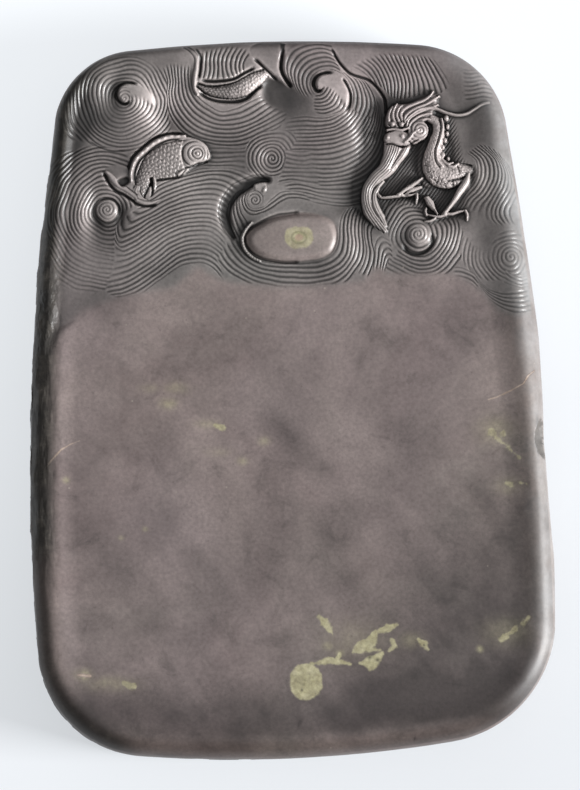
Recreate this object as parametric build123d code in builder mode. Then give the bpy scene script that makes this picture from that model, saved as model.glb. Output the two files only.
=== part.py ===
"""An ink stone cut from one block of stone, with a grinding field and a carved wave field.

The frame has +Z up and its origin at the middle of the resting face. +Y runs from the heel of
the grinding field to the carved head. Lengths are in millimetres.
A place on the top is a pair of shares of the half width and the half length.
"""

import os
from math import asin, cos, degrees, pi, sin

from build123d import *

os.makedirs("parts", exist_ok=True)

# Driving dimensions of the block
stone_length = 230.0
stone_width = 168.0
stone_thickness = 30.0
shoulder_radius = 8.0
foot_radius = 5.0

# How far each bowed side stands out from the chord between its two corners
head_bow = 4.4
right_bow = 5.1
heel_bow = 8.0
left_bow = 8.2

# Rounding of the four corners
head_left_radius = 27.0
head_right_radius = 30.8
heel_right_radius = 38.4
heel_left_radius = 35.2

# The grinding field is a shallow dish, and the carved ground slopes down from it to the head
rim_land = 1.5
rim_slope = 6.0
dish_depth = 1.4
ground_depth = 1.6
relief_height = 1.4
ground_slope = 3.0
ground_run = 12.0

# A knock in the right side, next to the grinding field
chip_radius = 6.0

# Wave field: rolled whorls, the ridges that run over them, and the hollows between
whorl_height = 1.1
whorl_pitch = 2.8
whorl_turns = 5
wave_height = 1.3
comma_radius = 3.4
hollow_depth = 1.9
hollow_radius = 3.6
bowl_radius = 4.5
base_depth = 1.0

# Sides of a strand's section, and the ends of a trough or fleck as a share of its middle
strand_sides = 12
end_share = 0.4

# Sun disc in the crook of the breaking crest
disc_length = 29.0
disc_width = 15.5
disc_height = 1.1
disc_edge = 0.9
crest_height = 1.4

# Carp
carp_mouth_radius = 1.7
carp_body_radius = 4.3
carp_tail_radius = 1.4
carp_fin_height = 1.4
carp_fin_tip_height = 0.8
carp_eye_radius = 0.8
tail_lobe_radius = 2.0

# Arching fish body in the waves above the carp
arch_tip_radius = 0.8
arch_body_radius = 3.6
arch_end_radius = 2.6

# Dragon
dragon_neck_radius = 2.1
dragon_body_radius = 2.5
dragon_rump_radius = 1.6
dragon_head_radius = 3.5
dragon_eye_radius = 1.2
dragon_cheek_radius = 1.4
dragon_jaw_radius = 2.0
mane_root_radius = 1.6
mane_tip_radius = 0.5
whisker_height = 1.1
whisker_tip_height = 0.6
beard_root_radius = 2.2
beard_tip_radius = 0.8
leg_hip_radius = 2.1
leg_foot_radius = 1.2
claw_root_height = 1.2
claw_tip_height = 0.5
claw_bow = 0.8
crest_bead_radius = 1.1

# Mineral eyes and flecks: how deep they reach and how far each one spreads
eye_depth = 4.0
fleck_depth = 2.0
pool_eye_length = 9.2
pool_eye_width = 7.2
pool_core_length = 3.6
pool_core_width = 2.8
round_eye_radius = 5.3
streak_radius = 0.7
leaf_radius = 1.3
branch_radius = 1.3
blob_length = 7.4
blob_width = 4.6
hook_radius = 0.8
small_leaf_radius = 0.7
edge_eye_radius = 1.1
upper_eye_radius = 1.2
lower_eye_radius = 1.2
upper_fleck_radius = 0.8
heel_eye_radius = 0.9

# Places on the top, as shares of the half width and the half length
corner_shares = [(-0.867, 0.950), (0.773, 0.972), (1.002, -0.890), (-0.929, -0.962)]
field_edge_share = 0.31
chip_share = (0.985, -0.09)

whorl_shares = [(-0.63, 0.84), (-0.71, 0.52), (-0.08, 0.68), (0.10, 0.87), (0.49, 0.45)]
whorl_size_shares = [1.0, 0.8, 0.6, 0.6, 0.7]
comma_shares = [((-0.66, 0.86), (-0.53, 0.81)), ((0.04, 0.90), (0.17, 0.85))]
wave_shares = [
    [(-0.40, 0.95), (-0.36, 0.90), (-0.37, 0.84)],
    [(-0.44, 0.50), (-0.38, 0.44), (-0.34, 0.34)],
    [(-0.62, 0.40), (-0.50, 0.38), (-0.42, 0.32)],
    [(0.20, 0.95), (0.31, 0.88), (0.37, 0.80)],
    [(0.19, 0.83), (0.23, 0.70), (0.20, 0.55)],
    [(0.72, 0.66), (0.76, 0.56), (0.68, 0.47)],
    [(0.62, 0.42), (0.71, 0.36), (0.72, 0.28)],
    [(-0.78, 0.72), (-0.70, 0.69), (-0.66, 0.64)],
]
mound_shares = [(-0.57, 0.82), (0.16, 0.855), (-0.02, 0.56), (-0.54, 0.46), (-0.35, 0.515), (0.22, 0.46)]
mound_spreads = [10.0, 7.0, 8.0, 15.0, 12.0, 8.0]
mound_rises = [1.0, 1.0, 0.8, 0.7, 0.7, 0.7]
trough_shares = [(-0.12, 0.90), (-0.02, 0.87), (0.02, 0.79)]
crest_hollow_shares = [(-0.09, 0.595), (-0.225, 0.565), (-0.235, 0.455)]
arch_hollow_shares = [(-0.33, 0.80), (-0.22, 0.775), (-0.11, 0.80)]
bowl_shares = [(0.30, 0.78), (0.31, 0.69), (0.24, 0.60)]
dragon_hollow_shares = [(0.46, 0.71), (0.445, 0.66), (0.41, 0.62)]
back_hollow_shares = [(0.63, 0.75), (0.64, 0.70), (0.66, 0.655)]

disc_share = (0.002, 0.449)
crest_shares = [(-0.09, 0.545), (-0.175, 0.53), (-0.19, 0.46)]

carp_spine_shares = [(-0.318, 0.663), (-0.45, 0.685), (-0.573, 0.594)]
carp_fin_shares = [
    [(-0.44, 0.735), (-0.55, 0.70), (-0.615, 0.625)],
    [(-0.39, 0.655), (-0.41, 0.628), (-0.45, 0.612)],
    [(-0.505, 0.625), (-0.52, 0.60), (-0.55, 0.585)],
]
carp_tail_shares = [
    [(-0.575, 0.592), (-0.64, 0.595), (-0.70, 0.624)],
    [(-0.575, 0.592), (-0.56, 0.560), (-0.515, 0.549)],
]
carp_eye_share = (-0.362, 0.683)

arch_shares = [(-0.36, 0.89), (-0.23, 0.853), (-0.10, 0.915)]

dragon_body_shares = [(0.50, 0.765), (0.553, 0.735), (0.535, 0.66), (0.60, 0.625), (0.68, 0.61)]
dragon_snout_share = (0.352, 0.718)
dragon_nape_share = (0.51, 0.762)
dragon_eye_shares = [(0.385, 0.764), (0.425, 0.767)]
dragon_jaw_share = (0.492, 0.738)
dragon_cheek_share = (0.43, 0.725)
mane_shares = [
    [(0.42, 0.785), (0.47, 0.825), (0.54, 0.856)],
    [(0.46, 0.785), (0.52, 0.80), (0.565, 0.843)],
    [(0.40, 0.775), (0.405, 0.80), (0.395, 0.825)],
]
whisker_shares = [(0.45, 0.79), (0.54, 0.807), (0.62, 0.793), (0.75, 0.822)]
beard_shares = [(0.385, 0.71), (0.35, 0.63), (0.285, 0.55), (0.365, 0.463)]
hind_leg_shares = [(0.56, 0.615), (0.65, 0.585), (0.592, 0.524)]
hind_claw_shares = [(0.66, 0.526), (0.625, 0.498), (0.52, 0.526), (0.545, 0.498)]
front_leg_shares = [(0.54, 0.645), (0.49, 0.60), (0.413, 0.575)]
front_claw_shares = [(0.352, 0.562), (0.385, 0.545), (0.478, 0.565), (0.45, 0.548)]
crest_bead_shares = [(0.585, 0.785), (0.595, 0.73), (0.58, 0.68), (0.63, 0.665)]

pool_eye_share = (0.028, 0.45)
round_eye_share = (0.061, -0.785)
streak_shares = [(0.101, -0.732), (0.165, -0.728), (0.227, -0.734)]
leaf_shares = [(0.104, -0.602), (0.118, -0.632), (0.156, -0.651)]
branch_shares = [(0.227, -0.70), (0.29, -0.675), (0.402, -0.627)]
blob_share = (0.304, -0.727)
hook_shares = [(0.366, -0.675), (0.385, -0.685), (0.402, -0.668)]
small_leaf_shares = [(0.482, -0.684), (0.501, -0.677), (0.52, -0.675)]
edge_eye_shares = [(0.808, -0.663), (0.844, -0.643), (0.89, -0.615)]
upper_eye_shares = [(0.765, -0.090), (0.80, -0.128), (0.853, -0.150)]
lower_eye_share = (0.832, -0.235)
upper_fleck_share = (-0.272, -0.077)
heel_eye_share = (-0.614, -0.794)

half_width = stone_width / 2
half_length = stone_length / 2
rim_inset = shoulder_radius + rim_land
floor_height = stone_thickness - dish_depth
ground_height = stone_thickness - ground_depth
field_edge = field_edge_share * half_length


def place(share, height):
    """The point at a share of the half width and half length, at a height."""
    return Vector(share[0] * half_width, share[1] * half_length, height)


def arc_path(shares, height):
    """A level path of tangent arcs: one through the first three places, then one to each next."""
    points = [place(share, height) for share in shares]
    with BuildLine() as path:
        arc = ThreePointArc(*points[:3])
        for point in points[3:]:
            arc = TangentArc(arc @ 1, point, tangent=arc % 1)
    return path.wire()


def strand(path, radii, depth):
    """A many-sided strand with a radius at each even step of its path.

    A section wider than the depth is flattened to it, above and below.
    """
    turns = [2 * pi * side / strand_sides for side in range(strand_sides)]
    with BuildPart() as body:
        for step, radius in enumerate(radii):
            rise = min(radius, depth)
            spot = step / (len(radii) - 1)
            along = path % spot
            with BuildSketch(Plane(path @ spot, x_dir=along.cross(Axis.Z.direction), z_dir=along)):
                Polygon(*[(radius * cos(turn), rise * sin(turn)) for turn in turns], align=None)
        sweep(path=path, multisection=True)
    return body.part


def carving(shares, *radii):
    """A strand that lies in the carved ground and rises no higher than the relief."""
    return strand(arc_path(shares, ground_height), radii, relief_height)


def hollow(shares, radius):
    """A trough in the carved ground that narrows to both ends."""
    radii = (radius * end_share, radius, radius * end_share)
    return strand(arc_path(shares, ground_height), radii, hollow_depth)


def fleck(shares, radius):
    """A strand of mineral, thickest in the middle, that the grinding field cuts through."""
    radii = (radius * end_share, radius, radius * end_share)
    return strand(arc_path(shares, floor_height), radii, fleck_depth)


def ridge(path, root_height, tip_height):
    """A roof-shaped ridge, as a chisel leaves it, whose height changes evenly along its path."""
    with BuildPart() as body:
        for spot, height in ((path @ 0, root_height), (path @ 1, tip_height)):
            along = path % 0 if spot == path @ 0 else path % 1
            with BuildSketch(Plane(spot, x_dir=along.cross(Axis.Z.direction), z_dir=along)):
                RegularPolygon(height, side_count=4)
        sweep(path=path, multisection=True)
    return body.part


def claw(foot_share, tip_share):
    """A curved claw from a foot to its tip."""
    with BuildLine() as path:
        SagittaArc(place(foot_share, ground_height), place(tip_share, ground_height), claw_bow)
    return ridge(path.wire(), claw_root_height, claw_tip_height)


def mound(share, spread, rise):
    """A low round swell that rises from the carved ground."""
    reach = (spread**2 + rise**2) / (2 * rise)
    with BuildPart() as body:
        with BuildSketch(Plane(place(share, ground_height), x_dir=(1, 0, 0), z_dir=(0, -1, 0))):
            with BuildLine():
                arc = JernArc((0, rise), (1, 0), reach, -degrees(asin(spread / reach)))
                Polyline(arc @ 1, (spread, -base_depth), (0, -base_depth), (0, rise))
            make_face()
        revolve(axis=Axis(place(share, ground_height), (0, 0, 1)))
    return body.part


def spindle(nose_share, tail_share, radius):
    """A body of revolution, oval from end to end, that rises as high as the rim."""
    nose = place(nose_share, stone_thickness - radius)
    tail = place(tail_share, stone_thickness - radius)
    middle = (nose + tail) / 2
    axis = tail - nose
    with BuildPart() as body:
        with BuildSketch(Plane(middle, x_dir=axis, z_dir=Axis.Z.direction)):
            Ellipse(axis.length / 2, radius)
            Rectangle(axis.length, radius, align=(Align.CENTER, Align.MAX), mode=Mode.SUBTRACT)
        revolve(axis=Axis(middle, axis))
    return body.part


def ball(share, radius, height):
    """A ball with its middle at a height."""
    with BuildPart() as body:
        with Locations(place(share, height)):
            Sphere(radius)
    return body.part


def plug(share, length, width, top, depth):
    """An upright oval plug that reaches a depth down from its top."""
    with BuildPart() as body:
        with BuildSketch(Plane(place(share, top))):
            Ellipse(length / 2, width / 2)
        extrude(amount=-depth)
    return body.part


def basin(depth, slope):
    """What is cut away inside the rim: a flat floor at a depth, and a slope up to the rim."""
    with BuildPart() as body:
        with BuildSketch(Plane.XY.offset(stone_thickness - depth)):
            add(outline.sketch)
            offset(amount=-rim_inset, kind=Kind.INTERSECTION)
        extrude(amount=2 * depth)
        floor = body.faces().sort_by(Axis.Z)[0]
        chamfer(floor.edges(), length=slope, length2=depth, reference=floor)
    return body.part


# Outline of the block, drawn clockwise from the left corner of the head
corners = [place(share, 0) for share in corner_shares]
bows = [head_bow, right_bow, heel_bow, left_bow]
corner_radii = [head_left_radius, head_right_radius, heel_right_radius, heel_left_radius]
with BuildSketch() as outline:
    with BuildLine():
        for side, bow in enumerate(bows):
            SagittaArc(corners[side], corners[(side + 1) % len(corners)], bow)
    make_face()
    for corner, radius in zip(corners, corner_radii):
        fillet(outline.vertices().sort_by_distance(corner)[0], radius)

with BuildPart() as block:
    add(outline.sketch)
    extrude(amount=stone_thickness)
    fillet(block.faces().sort_by(Axis.Z)[-1].edges(), shoulder_radius)
    fillet(block.faces().sort_by(Axis.Z)[0].edges(), foot_radius)

# The knock in the right side is a shallow round bite
with BuildPart() as chip:
    with Locations(place(chip_share, stone_thickness - shoulder_radius)):
        Sphere(chip_radius)

# The dish of the grinding field, with a sloping rim all round
with BuildPart() as dish:
    add(basin(dish_depth, rim_slope))

# The carved ground: the same rim, cut deeper, with a gentle slope up to the grinding field
slope_plane = Plane(
    origin=(0, field_edge, floor_height),
    x_dir=Axis.X.direction,
    z_dir=(0, ground_depth - dish_depth, ground_run),
)
with BuildPart() as carved_ground:
    add(basin(ground_depth, ground_slope))
    split(bisect_by=slope_plane, keep=Keep.TOP)

# Hollows between the waves, cut below the carved ground
with BuildPart() as hollows:
    for shares in (trough_shares, crest_hollow_shares, arch_hollow_shares):
        add(hollow(shares, hollow_radius))
    add(hollow(bowl_shares, bowl_radius))
    add(hollow(dragon_hollow_shares, hollow_radius))
    add(hollow(back_hollow_shares, hollow_radius))

# Low swells of the sea, under the ridges
with BuildPart() as swells:
    for share, spread, rise in zip(mound_shares, mound_spreads, mound_rises):
        add(mound(share, spread, rise))

# Whorls: ridges wound in half turns, each half a pitch wider than the one before
with BuildPart() as whorls:
    for share, size_share in zip(whorl_shares, whorl_size_shares):
        step = whorl_pitch * size_share / 2
        with BuildLine() as coil:
            inner = place(share, ground_height)
            for turn in range(1, whorl_turns + 1):
                side = -1 if turn % 2 else 1
                outer = inner + Vector(side * 2 * step * turn, 0, 0)
                middle = (inner + outer) / 2 + Vector(0, side * step * turn, 0)
                ThreePointArc(inner, middle, outer)
                inner = outer
        add(ridge(coil.wire(), whorl_height * size_share, whorl_height * size_share))

# Ridges that run over the waves, and the smooth commas in two of the whorls
with BuildPart() as waves:
    for shares in wave_shares:
        add(ridge(arc_path(shares, ground_height), wave_height, wave_height))
    for root_share, tip_share in comma_shares:
        add(spindle(root_share, tip_share, comma_radius))

# Sun disc, in the crook of the breaking crest
with BuildPart() as disc:
    add(plug(disc_share, disc_length, disc_width, ground_height + disc_height, 2 * disc_height))
    fillet(disc.faces().sort_by(Axis.Z)[-1].edges(), disc_edge)
with BuildPart() as crest:
    add(ridge(arc_path(crest_shares, ground_height), crest_height, crest_height))

with BuildPart() as carp:
    add(carving(carp_spine_shares, carp_mouth_radius, carp_body_radius, carp_tail_radius))
    for shares in carp_fin_shares:
        add(ridge(arc_path(shares, ground_height), carp_fin_height, carp_fin_tip_height))
    for shares in carp_tail_shares:
        add(carving(shares, carp_tail_radius, tail_lobe_radius))
    add(ball(carp_eye_share, carp_eye_radius, stone_thickness - carp_eye_radius))

with BuildPart() as arching_fish:
    add(carving(arch_shares, arch_tip_radius, arch_body_radius, arch_end_radius))

with BuildPart() as dragon:
    add(carving(dragon_body_shares, dragon_neck_radius, dragon_body_radius, dragon_rump_radius))
    add(spindle(dragon_snout_share, dragon_nape_share, dragon_head_radius))
    for shares in mane_shares:
        add(carving(shares, mane_root_radius, mane_tip_radius))
    add(ridge(arc_path(whisker_shares, ground_height), whisker_height, whisker_tip_height))
    add(carving(beard_shares, beard_root_radius, beard_tip_radius))
    for leg_shares, tip_shares in (
        (hind_leg_shares, hind_claw_shares),
        (front_leg_shares, front_claw_shares),
    ):
        add(carving(leg_shares, leg_hip_radius, leg_foot_radius))
        for tip_share in tip_shares:
            add(claw(leg_shares[-1], tip_share))
    for share in dragon_eye_shares:
        add(ball(share, dragon_eye_radius, floor_height))
    add(ball(dragon_jaw_share, dragon_jaw_radius, stone_thickness - dragon_jaw_radius))
    add(ball(dragon_cheek_share, dragon_cheek_radius, stone_thickness - dragon_cheek_radius))
    for share in crest_bead_shares:
        add(ball(share, crest_bead_radius, ground_height))

with BuildPart() as stone:
    add(block.part)
    add(chip.part, mode=Mode.SUBTRACT)
    add(dish.part, mode=Mode.SUBTRACT)
    add(carved_ground.part, mode=Mode.SUBTRACT)
    add(hollows.part, mode=Mode.SUBTRACT)
    for relief in (swells, whorls, waves, disc, crest, carp, arching_fish, dragon):
        add(relief.part)

# Mineral eyes: each blank is cut flush with the top, and the stone has its pocket
disc_top = ground_height + disc_height
blank_top = stone_thickness + fleck_depth
fleck_reach = blank_top - floor_height + fleck_depth
eye_reach = blank_top - disc_top + eye_depth
core_blank = plug(pool_eye_share, pool_core_length, pool_core_width, blank_top, eye_reach)
with BuildPart() as ring_blank:
    add(plug(pool_eye_share, pool_eye_length, pool_eye_width, blank_top, eye_reach))
    add(core_blank, mode=Mode.SUBTRACT)
blanks = {
    "pool_eye_ring": ring_blank.part,
    "pool_eye_core": core_blank,
    "round_eye": ball(round_eye_share, round_eye_radius, floor_height),
    "round_eye_streak": fleck(streak_shares, streak_radius),
    "leaf_eye": fleck(leaf_shares, leaf_radius),
    "branch_eye": fleck(branch_shares, branch_radius),
    "blob_eye": plug(blob_share, blob_length, blob_width, blank_top, fleck_reach),
    "hook_eye": fleck(hook_shares, hook_radius),
    "small_leaf_eye": fleck(small_leaf_shares, small_leaf_radius),
    "upper_eye": fleck(upper_eye_shares, upper_eye_radius),
    "lower_eye": ball(lower_eye_share, lower_eye_radius, floor_height),
    "upper_fleck": ball(upper_fleck_share, upper_fleck_radius, floor_height),
    "heel_eye": ball(heel_eye_share, heel_eye_radius, floor_height),
}
for number, share in enumerate(edge_eye_shares, start=1):
    blank = plug(share, 2 * edge_eye_radius, 2 * edge_eye_radius, blank_top, fleck_reach)
    blanks[f"edge_eye_{number}"] = blank
for name, blank in blanks.items():
    with BuildPart() as eye:
        add(blank)
        add(stone.part, mode=Mode.INTERSECT)
    eye.part.label = name
    export_step(eye.part, f"parts/{name}.step")

with BuildPart() as slab:
    add(stone.part)
    for blank in blanks.values():
        add(blank, mode=Mode.SUBTRACT)
slab.part.label = "slab"
export_step(slab.part, "parts/slab.step")
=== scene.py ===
"""Looks of the ink stone: the carved block, its mineral eyes, the floor, the light and the camera.

The relief is drawn in a height map whose cells are a third of a pixel of the photograph. Points and
widths of the carving are pixels of the photograph, 580 wide and 790 high. Heights are in
millimetres from the plane of the rim.
"""

import bpy
import numpy as np
from mathutils import Matrix, Vector


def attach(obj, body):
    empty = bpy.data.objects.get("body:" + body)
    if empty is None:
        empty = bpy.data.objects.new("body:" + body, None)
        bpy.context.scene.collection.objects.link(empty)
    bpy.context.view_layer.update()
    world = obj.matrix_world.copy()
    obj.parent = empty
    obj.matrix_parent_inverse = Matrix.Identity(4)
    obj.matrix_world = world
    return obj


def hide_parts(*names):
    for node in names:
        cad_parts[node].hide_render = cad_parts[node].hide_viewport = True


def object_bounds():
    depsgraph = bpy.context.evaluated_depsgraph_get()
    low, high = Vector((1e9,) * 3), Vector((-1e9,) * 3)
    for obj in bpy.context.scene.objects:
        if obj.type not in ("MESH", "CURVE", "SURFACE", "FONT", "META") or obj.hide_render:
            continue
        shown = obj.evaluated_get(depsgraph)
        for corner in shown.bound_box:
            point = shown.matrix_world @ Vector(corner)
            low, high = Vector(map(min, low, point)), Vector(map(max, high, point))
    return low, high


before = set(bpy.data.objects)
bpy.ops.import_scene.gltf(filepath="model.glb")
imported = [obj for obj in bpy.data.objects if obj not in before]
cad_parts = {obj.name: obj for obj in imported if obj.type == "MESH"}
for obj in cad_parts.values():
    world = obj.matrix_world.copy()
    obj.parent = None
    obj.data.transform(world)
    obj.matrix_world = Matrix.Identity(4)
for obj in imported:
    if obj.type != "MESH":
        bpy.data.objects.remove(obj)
cad_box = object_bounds()
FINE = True

# The camera looks down on the top from the heel's side
PIXELS = (580, 790)
MM_PER_PIXEL = 0.3187
VIEW_TILT = np.radians(5.0)
VIEW_DISTANCE = 1500.0
AIM = np.array([0.0, 0.0, 28.8])
MIDDLE_PIXEL = (291.5, 397.3)

# The block, as in the CAD
HALF_WIDTH, HALF_LENGTH, THICKNESS = 84.0, 115.0, 30.0
SHOULDER, FOOT = 8.0, 5.0
CORNERS = [(-0.867, 0.950), (0.773, 0.972), (1.002, -0.890), (-0.929, -0.962)]
BOWS = [4.4, 5.1, 8.0, 8.2]
CORNER_RADII = [27.0, 30.8, 38.4, 35.2]
FIELD_HEIGHT = -1.4

# The height map
CELLS = 3 if FINE else 2
MAP_LEFT, MAP_TOP, MAP_RIGHT, MAP_BOTTOM = 20, 30, 560, 376
STEP = 0.22
GROOVE = 0.36
WAVER_START = 22
# The swell under it: its coarser grid, its mean height, how steep it is, and its lowest and highest places
SWELL_GRID, SWELL_SPREAD = 4, 14.0
SWELL_MEAN, SWELL_GAIN, SWELL_MIDDLE = -1.45, 2.2, -1.15
LOWEST, HIGHEST, SWELL_TOP = -3.7, -0.1, -0.15

# Where the carving is worn nearly smooth: place, spread and how much is gone
WORN = [
    (98, 262, 17, 0.75), (88, 240, 9, 0.5), (112, 108, 10, 0.7), (100, 118, 9, 0.4), (213, 238, 11, 0.65),
    (214, 205, 8, 0.4), (285, 128, 15, 0.7), (305, 165, 10, 0.6), (326, 200, 9, 0.6), (480, 222, 13, 0.85),
    (486, 250, 11, 0.75), (455, 85, 10, 0.7), (385, 235, 9, 0.6), (395, 262, 8, 0.4), (140, 148, 8, 0.4),
    (70, 285, 14, 0.6), (60, 128, 9, 0.6), (505, 285, 8, 0.4), (150, 60, 9, 0.8), (122, 134, 9, 0.5),
    (345, 198, 8, 0.3), (240, 160, 8, 0.5), (498, 196, 7, 0.3), (70, 255, 9, 0.4),
]

MAP_SHAPE = ((MAP_BOTTOM - MAP_TOP) * CELLS + 1, (MAP_RIGHT - MAP_LEFT) * CELLS + 1)
MAP_Y, MAP_X = np.mgrid[0:MAP_SHAPE[0], 0:MAP_SHAPE[1]] / CELLS
MAP_X += MAP_LEFT
MAP_Y += MAP_TOP


def blur(values, pixels):
    """The map smoothed over a distance in pixels."""
    sigma = pixels * CELLS
    if sigma > 8:
        # A wide blur is done on a coarser map
        block = int(sigma // 4)
        rows, cols = values.shape
        tall, wide = -rows % block, -cols % block
        small = np.pad(values, ((0, tall), (0, wide)), mode="edge")
        small = small.reshape((rows + tall) // block, block, (cols + wide) // block, block).mean((1, 3))
        small = blur(small, pixels / block)
        row, col = np.mgrid[0:rows, 0:cols]
        return lookup(small, (col + 0.5) / block - 0.5, (row + 0.5) / block - 0.5)
    reach = int(3 * sigma) + 1
    kernel = np.exp(-0.5 * (np.arange(-reach, reach + 1) / sigma) ** 2)
    kernel /= kernel.sum()
    for axis in (0, 1):
        pad = [(reach, reach) if k == axis else (0, 0) for k in (0, 1)]
        wide = np.pad(values, pad, mode="edge")
        length = values.shape[axis]
        values = sum(
            weight * np.take(wide, np.arange(k, k + length), axis=axis)
            for k, weight in enumerate(kernel)
        )
    return values


def smooth(values):
    """0 below 0, 1 above 1, and an even ease between."""
    values = np.clip(values, 0, 1)
    return values * values * (3 - 2 * values)


def fade(values, start, run):
    """0 up to the start, 1 a run farther on, and an even ease between; a negative run goes down."""
    return smooth((values - start) / run)


def bell(dx, dy, wide, high):
    """1 in the middle, and next to nothing at three times the spread."""
    return np.exp(-0.5 * ((dx / wide) ** 2 + (dy / high) ** 2))


def turned(dx, dy, lean):
    """Distances along axes that are turned by an angle."""
    return dx * np.cos(lean) + dy * np.sin(lean), dy * np.cos(lean) - dx * np.sin(lean)


def spline(a, b, c, d, t):
    """A smooth curve from b at 0 to c at 1, with a before it and d after it."""
    return 0.5 * (
        2 * b + (c - a) * t + (2 * a - 5 * b + 4 * c - d) * t**2 + (3 * b - a - 3 * c + d) * t**3
    )


def through(points, count=None, closed=False):
    """Evenly spaced points on a smooth curve through the given ones, and its length."""
    p = np.array(points, float)
    if closed:
        ends = np.vstack([p[-1:], p, p[:2]])
    else:
        ends = np.vstack([2 * p[0] - p[1], p, 2 * p[-1] - p[-2]])
    t = np.linspace(0, 1, 14, endpoint=False)[:, None]
    runs = [spline(*near, t) for near in zip(ends, ends[1:], ends[2:], ends[3:])]
    line = np.vstack(runs + [p[:1] if closed else p[-1:]])
    gone = np.concatenate([[0], np.cumsum(np.hypot(*np.diff(line[:, :2], axis=0).T))])
    count = count or max(3, int(gone[-1] / STEP) + 1)
    at = np.linspace(0, gone[-1], count)
    return np.stack([np.interp(at, gone, line[:, k]) for k in range(p.shape[1])], 1), gone[-1]


def gather(x, y, *values):
    """Averages of scattered values in the map's cells, and where there are any."""
    column = np.rint((x.ravel() - MAP_LEFT) * CELLS).astype(int)
    row = np.rint((y.ravel() - MAP_TOP) * CELLS).astype(int)
    held = (column >= 0) & (column < MAP_SHAPE[1]) & (row >= 0) & (row < MAP_SHAPE[0])
    cell = row[held] * MAP_SHAPE[1] + column[held]
    size = MAP_SHAPE[0] * MAP_SHAPE[1]
    count = np.bincount(cell, minlength=size)
    found = count > 0
    maps = []
    for value in values:
        total = np.bincount(cell, np.broadcast_to(value, x.shape).ravel()[held], minlength=size)
        maps.append(np.where(found, total / np.maximum(count, 1), 0).reshape(MAP_SHAPE))
    return maps, found.reshape(MAP_SHAPE)


def within(points, soft=0.5, closed_curve=True):
    """1 inside an outline, 0 outside, with a soft edge in pixels."""
    p = through(points, closed=True)[0][::3] if closed_curve else np.array(points, float)
    inside = np.zeros(MAP_SHAPE, bool)
    low, high = p.min(0) - 1, p.max(0) + 1
    rows = slice(max(0, int((low[1] - MAP_TOP) * CELLS)), int((high[1] - MAP_TOP) * CELLS) + 2)
    cols = slice(max(0, int((low[0] - MAP_LEFT) * CELLS)), int((high[0] - MAP_LEFT) * CELLS) + 2)
    x, y = MAP_X[rows, cols], MAP_Y[rows, cols]
    hit = np.zeros(x.shape, bool)
    for (ax, ay), (bx, by) in zip(p, np.roll(p, -1, axis=0)):
        if ay != by:
            hit ^= ((ay > y) != (by > y)) & (x < (bx - ax) * (y - ay) / (by - ay) + ax)
    inside[rows, cols] = hit
    return blur(inside.astype(float), soft) if soft else inside.astype(float)


def ripple(phase):
    """Rounded ridges with a sharp groove at each whole number, from -1 to 0."""
    return np.abs(np.sin(np.pi * phase)) ** 0.8 - 1


class Relief:
    """The carved surface: its form, and the grooves cut in it."""

    def __init__(self, form):
        self.form = form
        self.groove = np.zeros(MAP_SHAPE)

    def lay(self, mask, form=None, groove=None):
        """Lays a new form or new grooves over the old where the mask is 1."""
        if form is not None:
            self.form = self.form * (1 - mask) + form * mask
        if groove is not None:
            self.groove = self.groove * (1 - mask) + groove * mask


def family(guides, counts, depth=GROOVE, ends=(3, 3), sides=(0.5, 0.5)):
    """Grooves that run between guide curves, so many between each pair, and their mask."""
    lengths = [through(guide)[1] for guide in guides]
    steps = int(max(lengths) / STEP) + 2
    lines = [through(guide, steps)[0] for guide in guides]
    gaps = [np.hypot(*(b - a).T) for a, b in zip(lines, lines[1:])]
    lines = [2 * lines[0] - lines[1], *lines, 2 * lines[-1] - lines[-2]]
    xs, ys, phases, masks = [], [], [], []
    along = np.linspace(0, 1, steps)
    start = 0.0
    for k, (count, gap) in enumerate(zip(counts, gaps)):
        t = np.linspace(0, 1, int(gap.max() / STEP) + 2)[:, None, None]
        spot = spline(*lines[k:k + 4], t)
        t = t[:, :, 0]
        length = lengths[k] * (1 - t) + lengths[k + 1] * t
        mask = smooth(along * length / ends[0]) * smooth((1 - along) * length / ends[1])
        if k == 0:
            mask = mask * smooth(t * gap / sides[0])
        if k == len(counts) - 1:
            mask = mask * smooth((1 - t) * gap / sides[1])
        xs.append(spot[:, :, 0])
        ys.append(spot[:, :, 1])
        phases.append((start + t * count) * np.ones(steps))
        masks.append(mask)
        start += count
    x, y, phase, mask = (np.vstack(part) for part in (xs, ys, phases, masks))
    (groove, mask), found = gather(x, y, ripple(phase) * depth, mask)
    return groove, mask * found


def whorl(centre, pitch, turn=1, slide=0.0, squeeze=1.0, depth=GROOVE):
    """Grooves wound about a centre, which waver once they are clear of it."""
    dx, dy = MAP_X - centre[0], MAP_Y - centre[1]
    waver = smooth(np.hypot(dx, dy) / WAVER_START)
    dx = dx + waver * (1.1 * np.sin(MAP_Y / 8.3 + centre[0]) + 0.6 * np.sin(MAP_X / 5.1 + MAP_Y / 9.7))
    dy = dy + waver * (1.1 * np.sin(MAP_X / 9.1 + centre[1]) + 0.6 * np.sin(MAP_Y / 4.7 - MAP_X / 11))
    away = np.hypot(dx, dy / squeeze)
    return ripple(away / pitch + turn * np.arctan2(dy, dx) / (2 * np.pi) + slide) * depth


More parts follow.
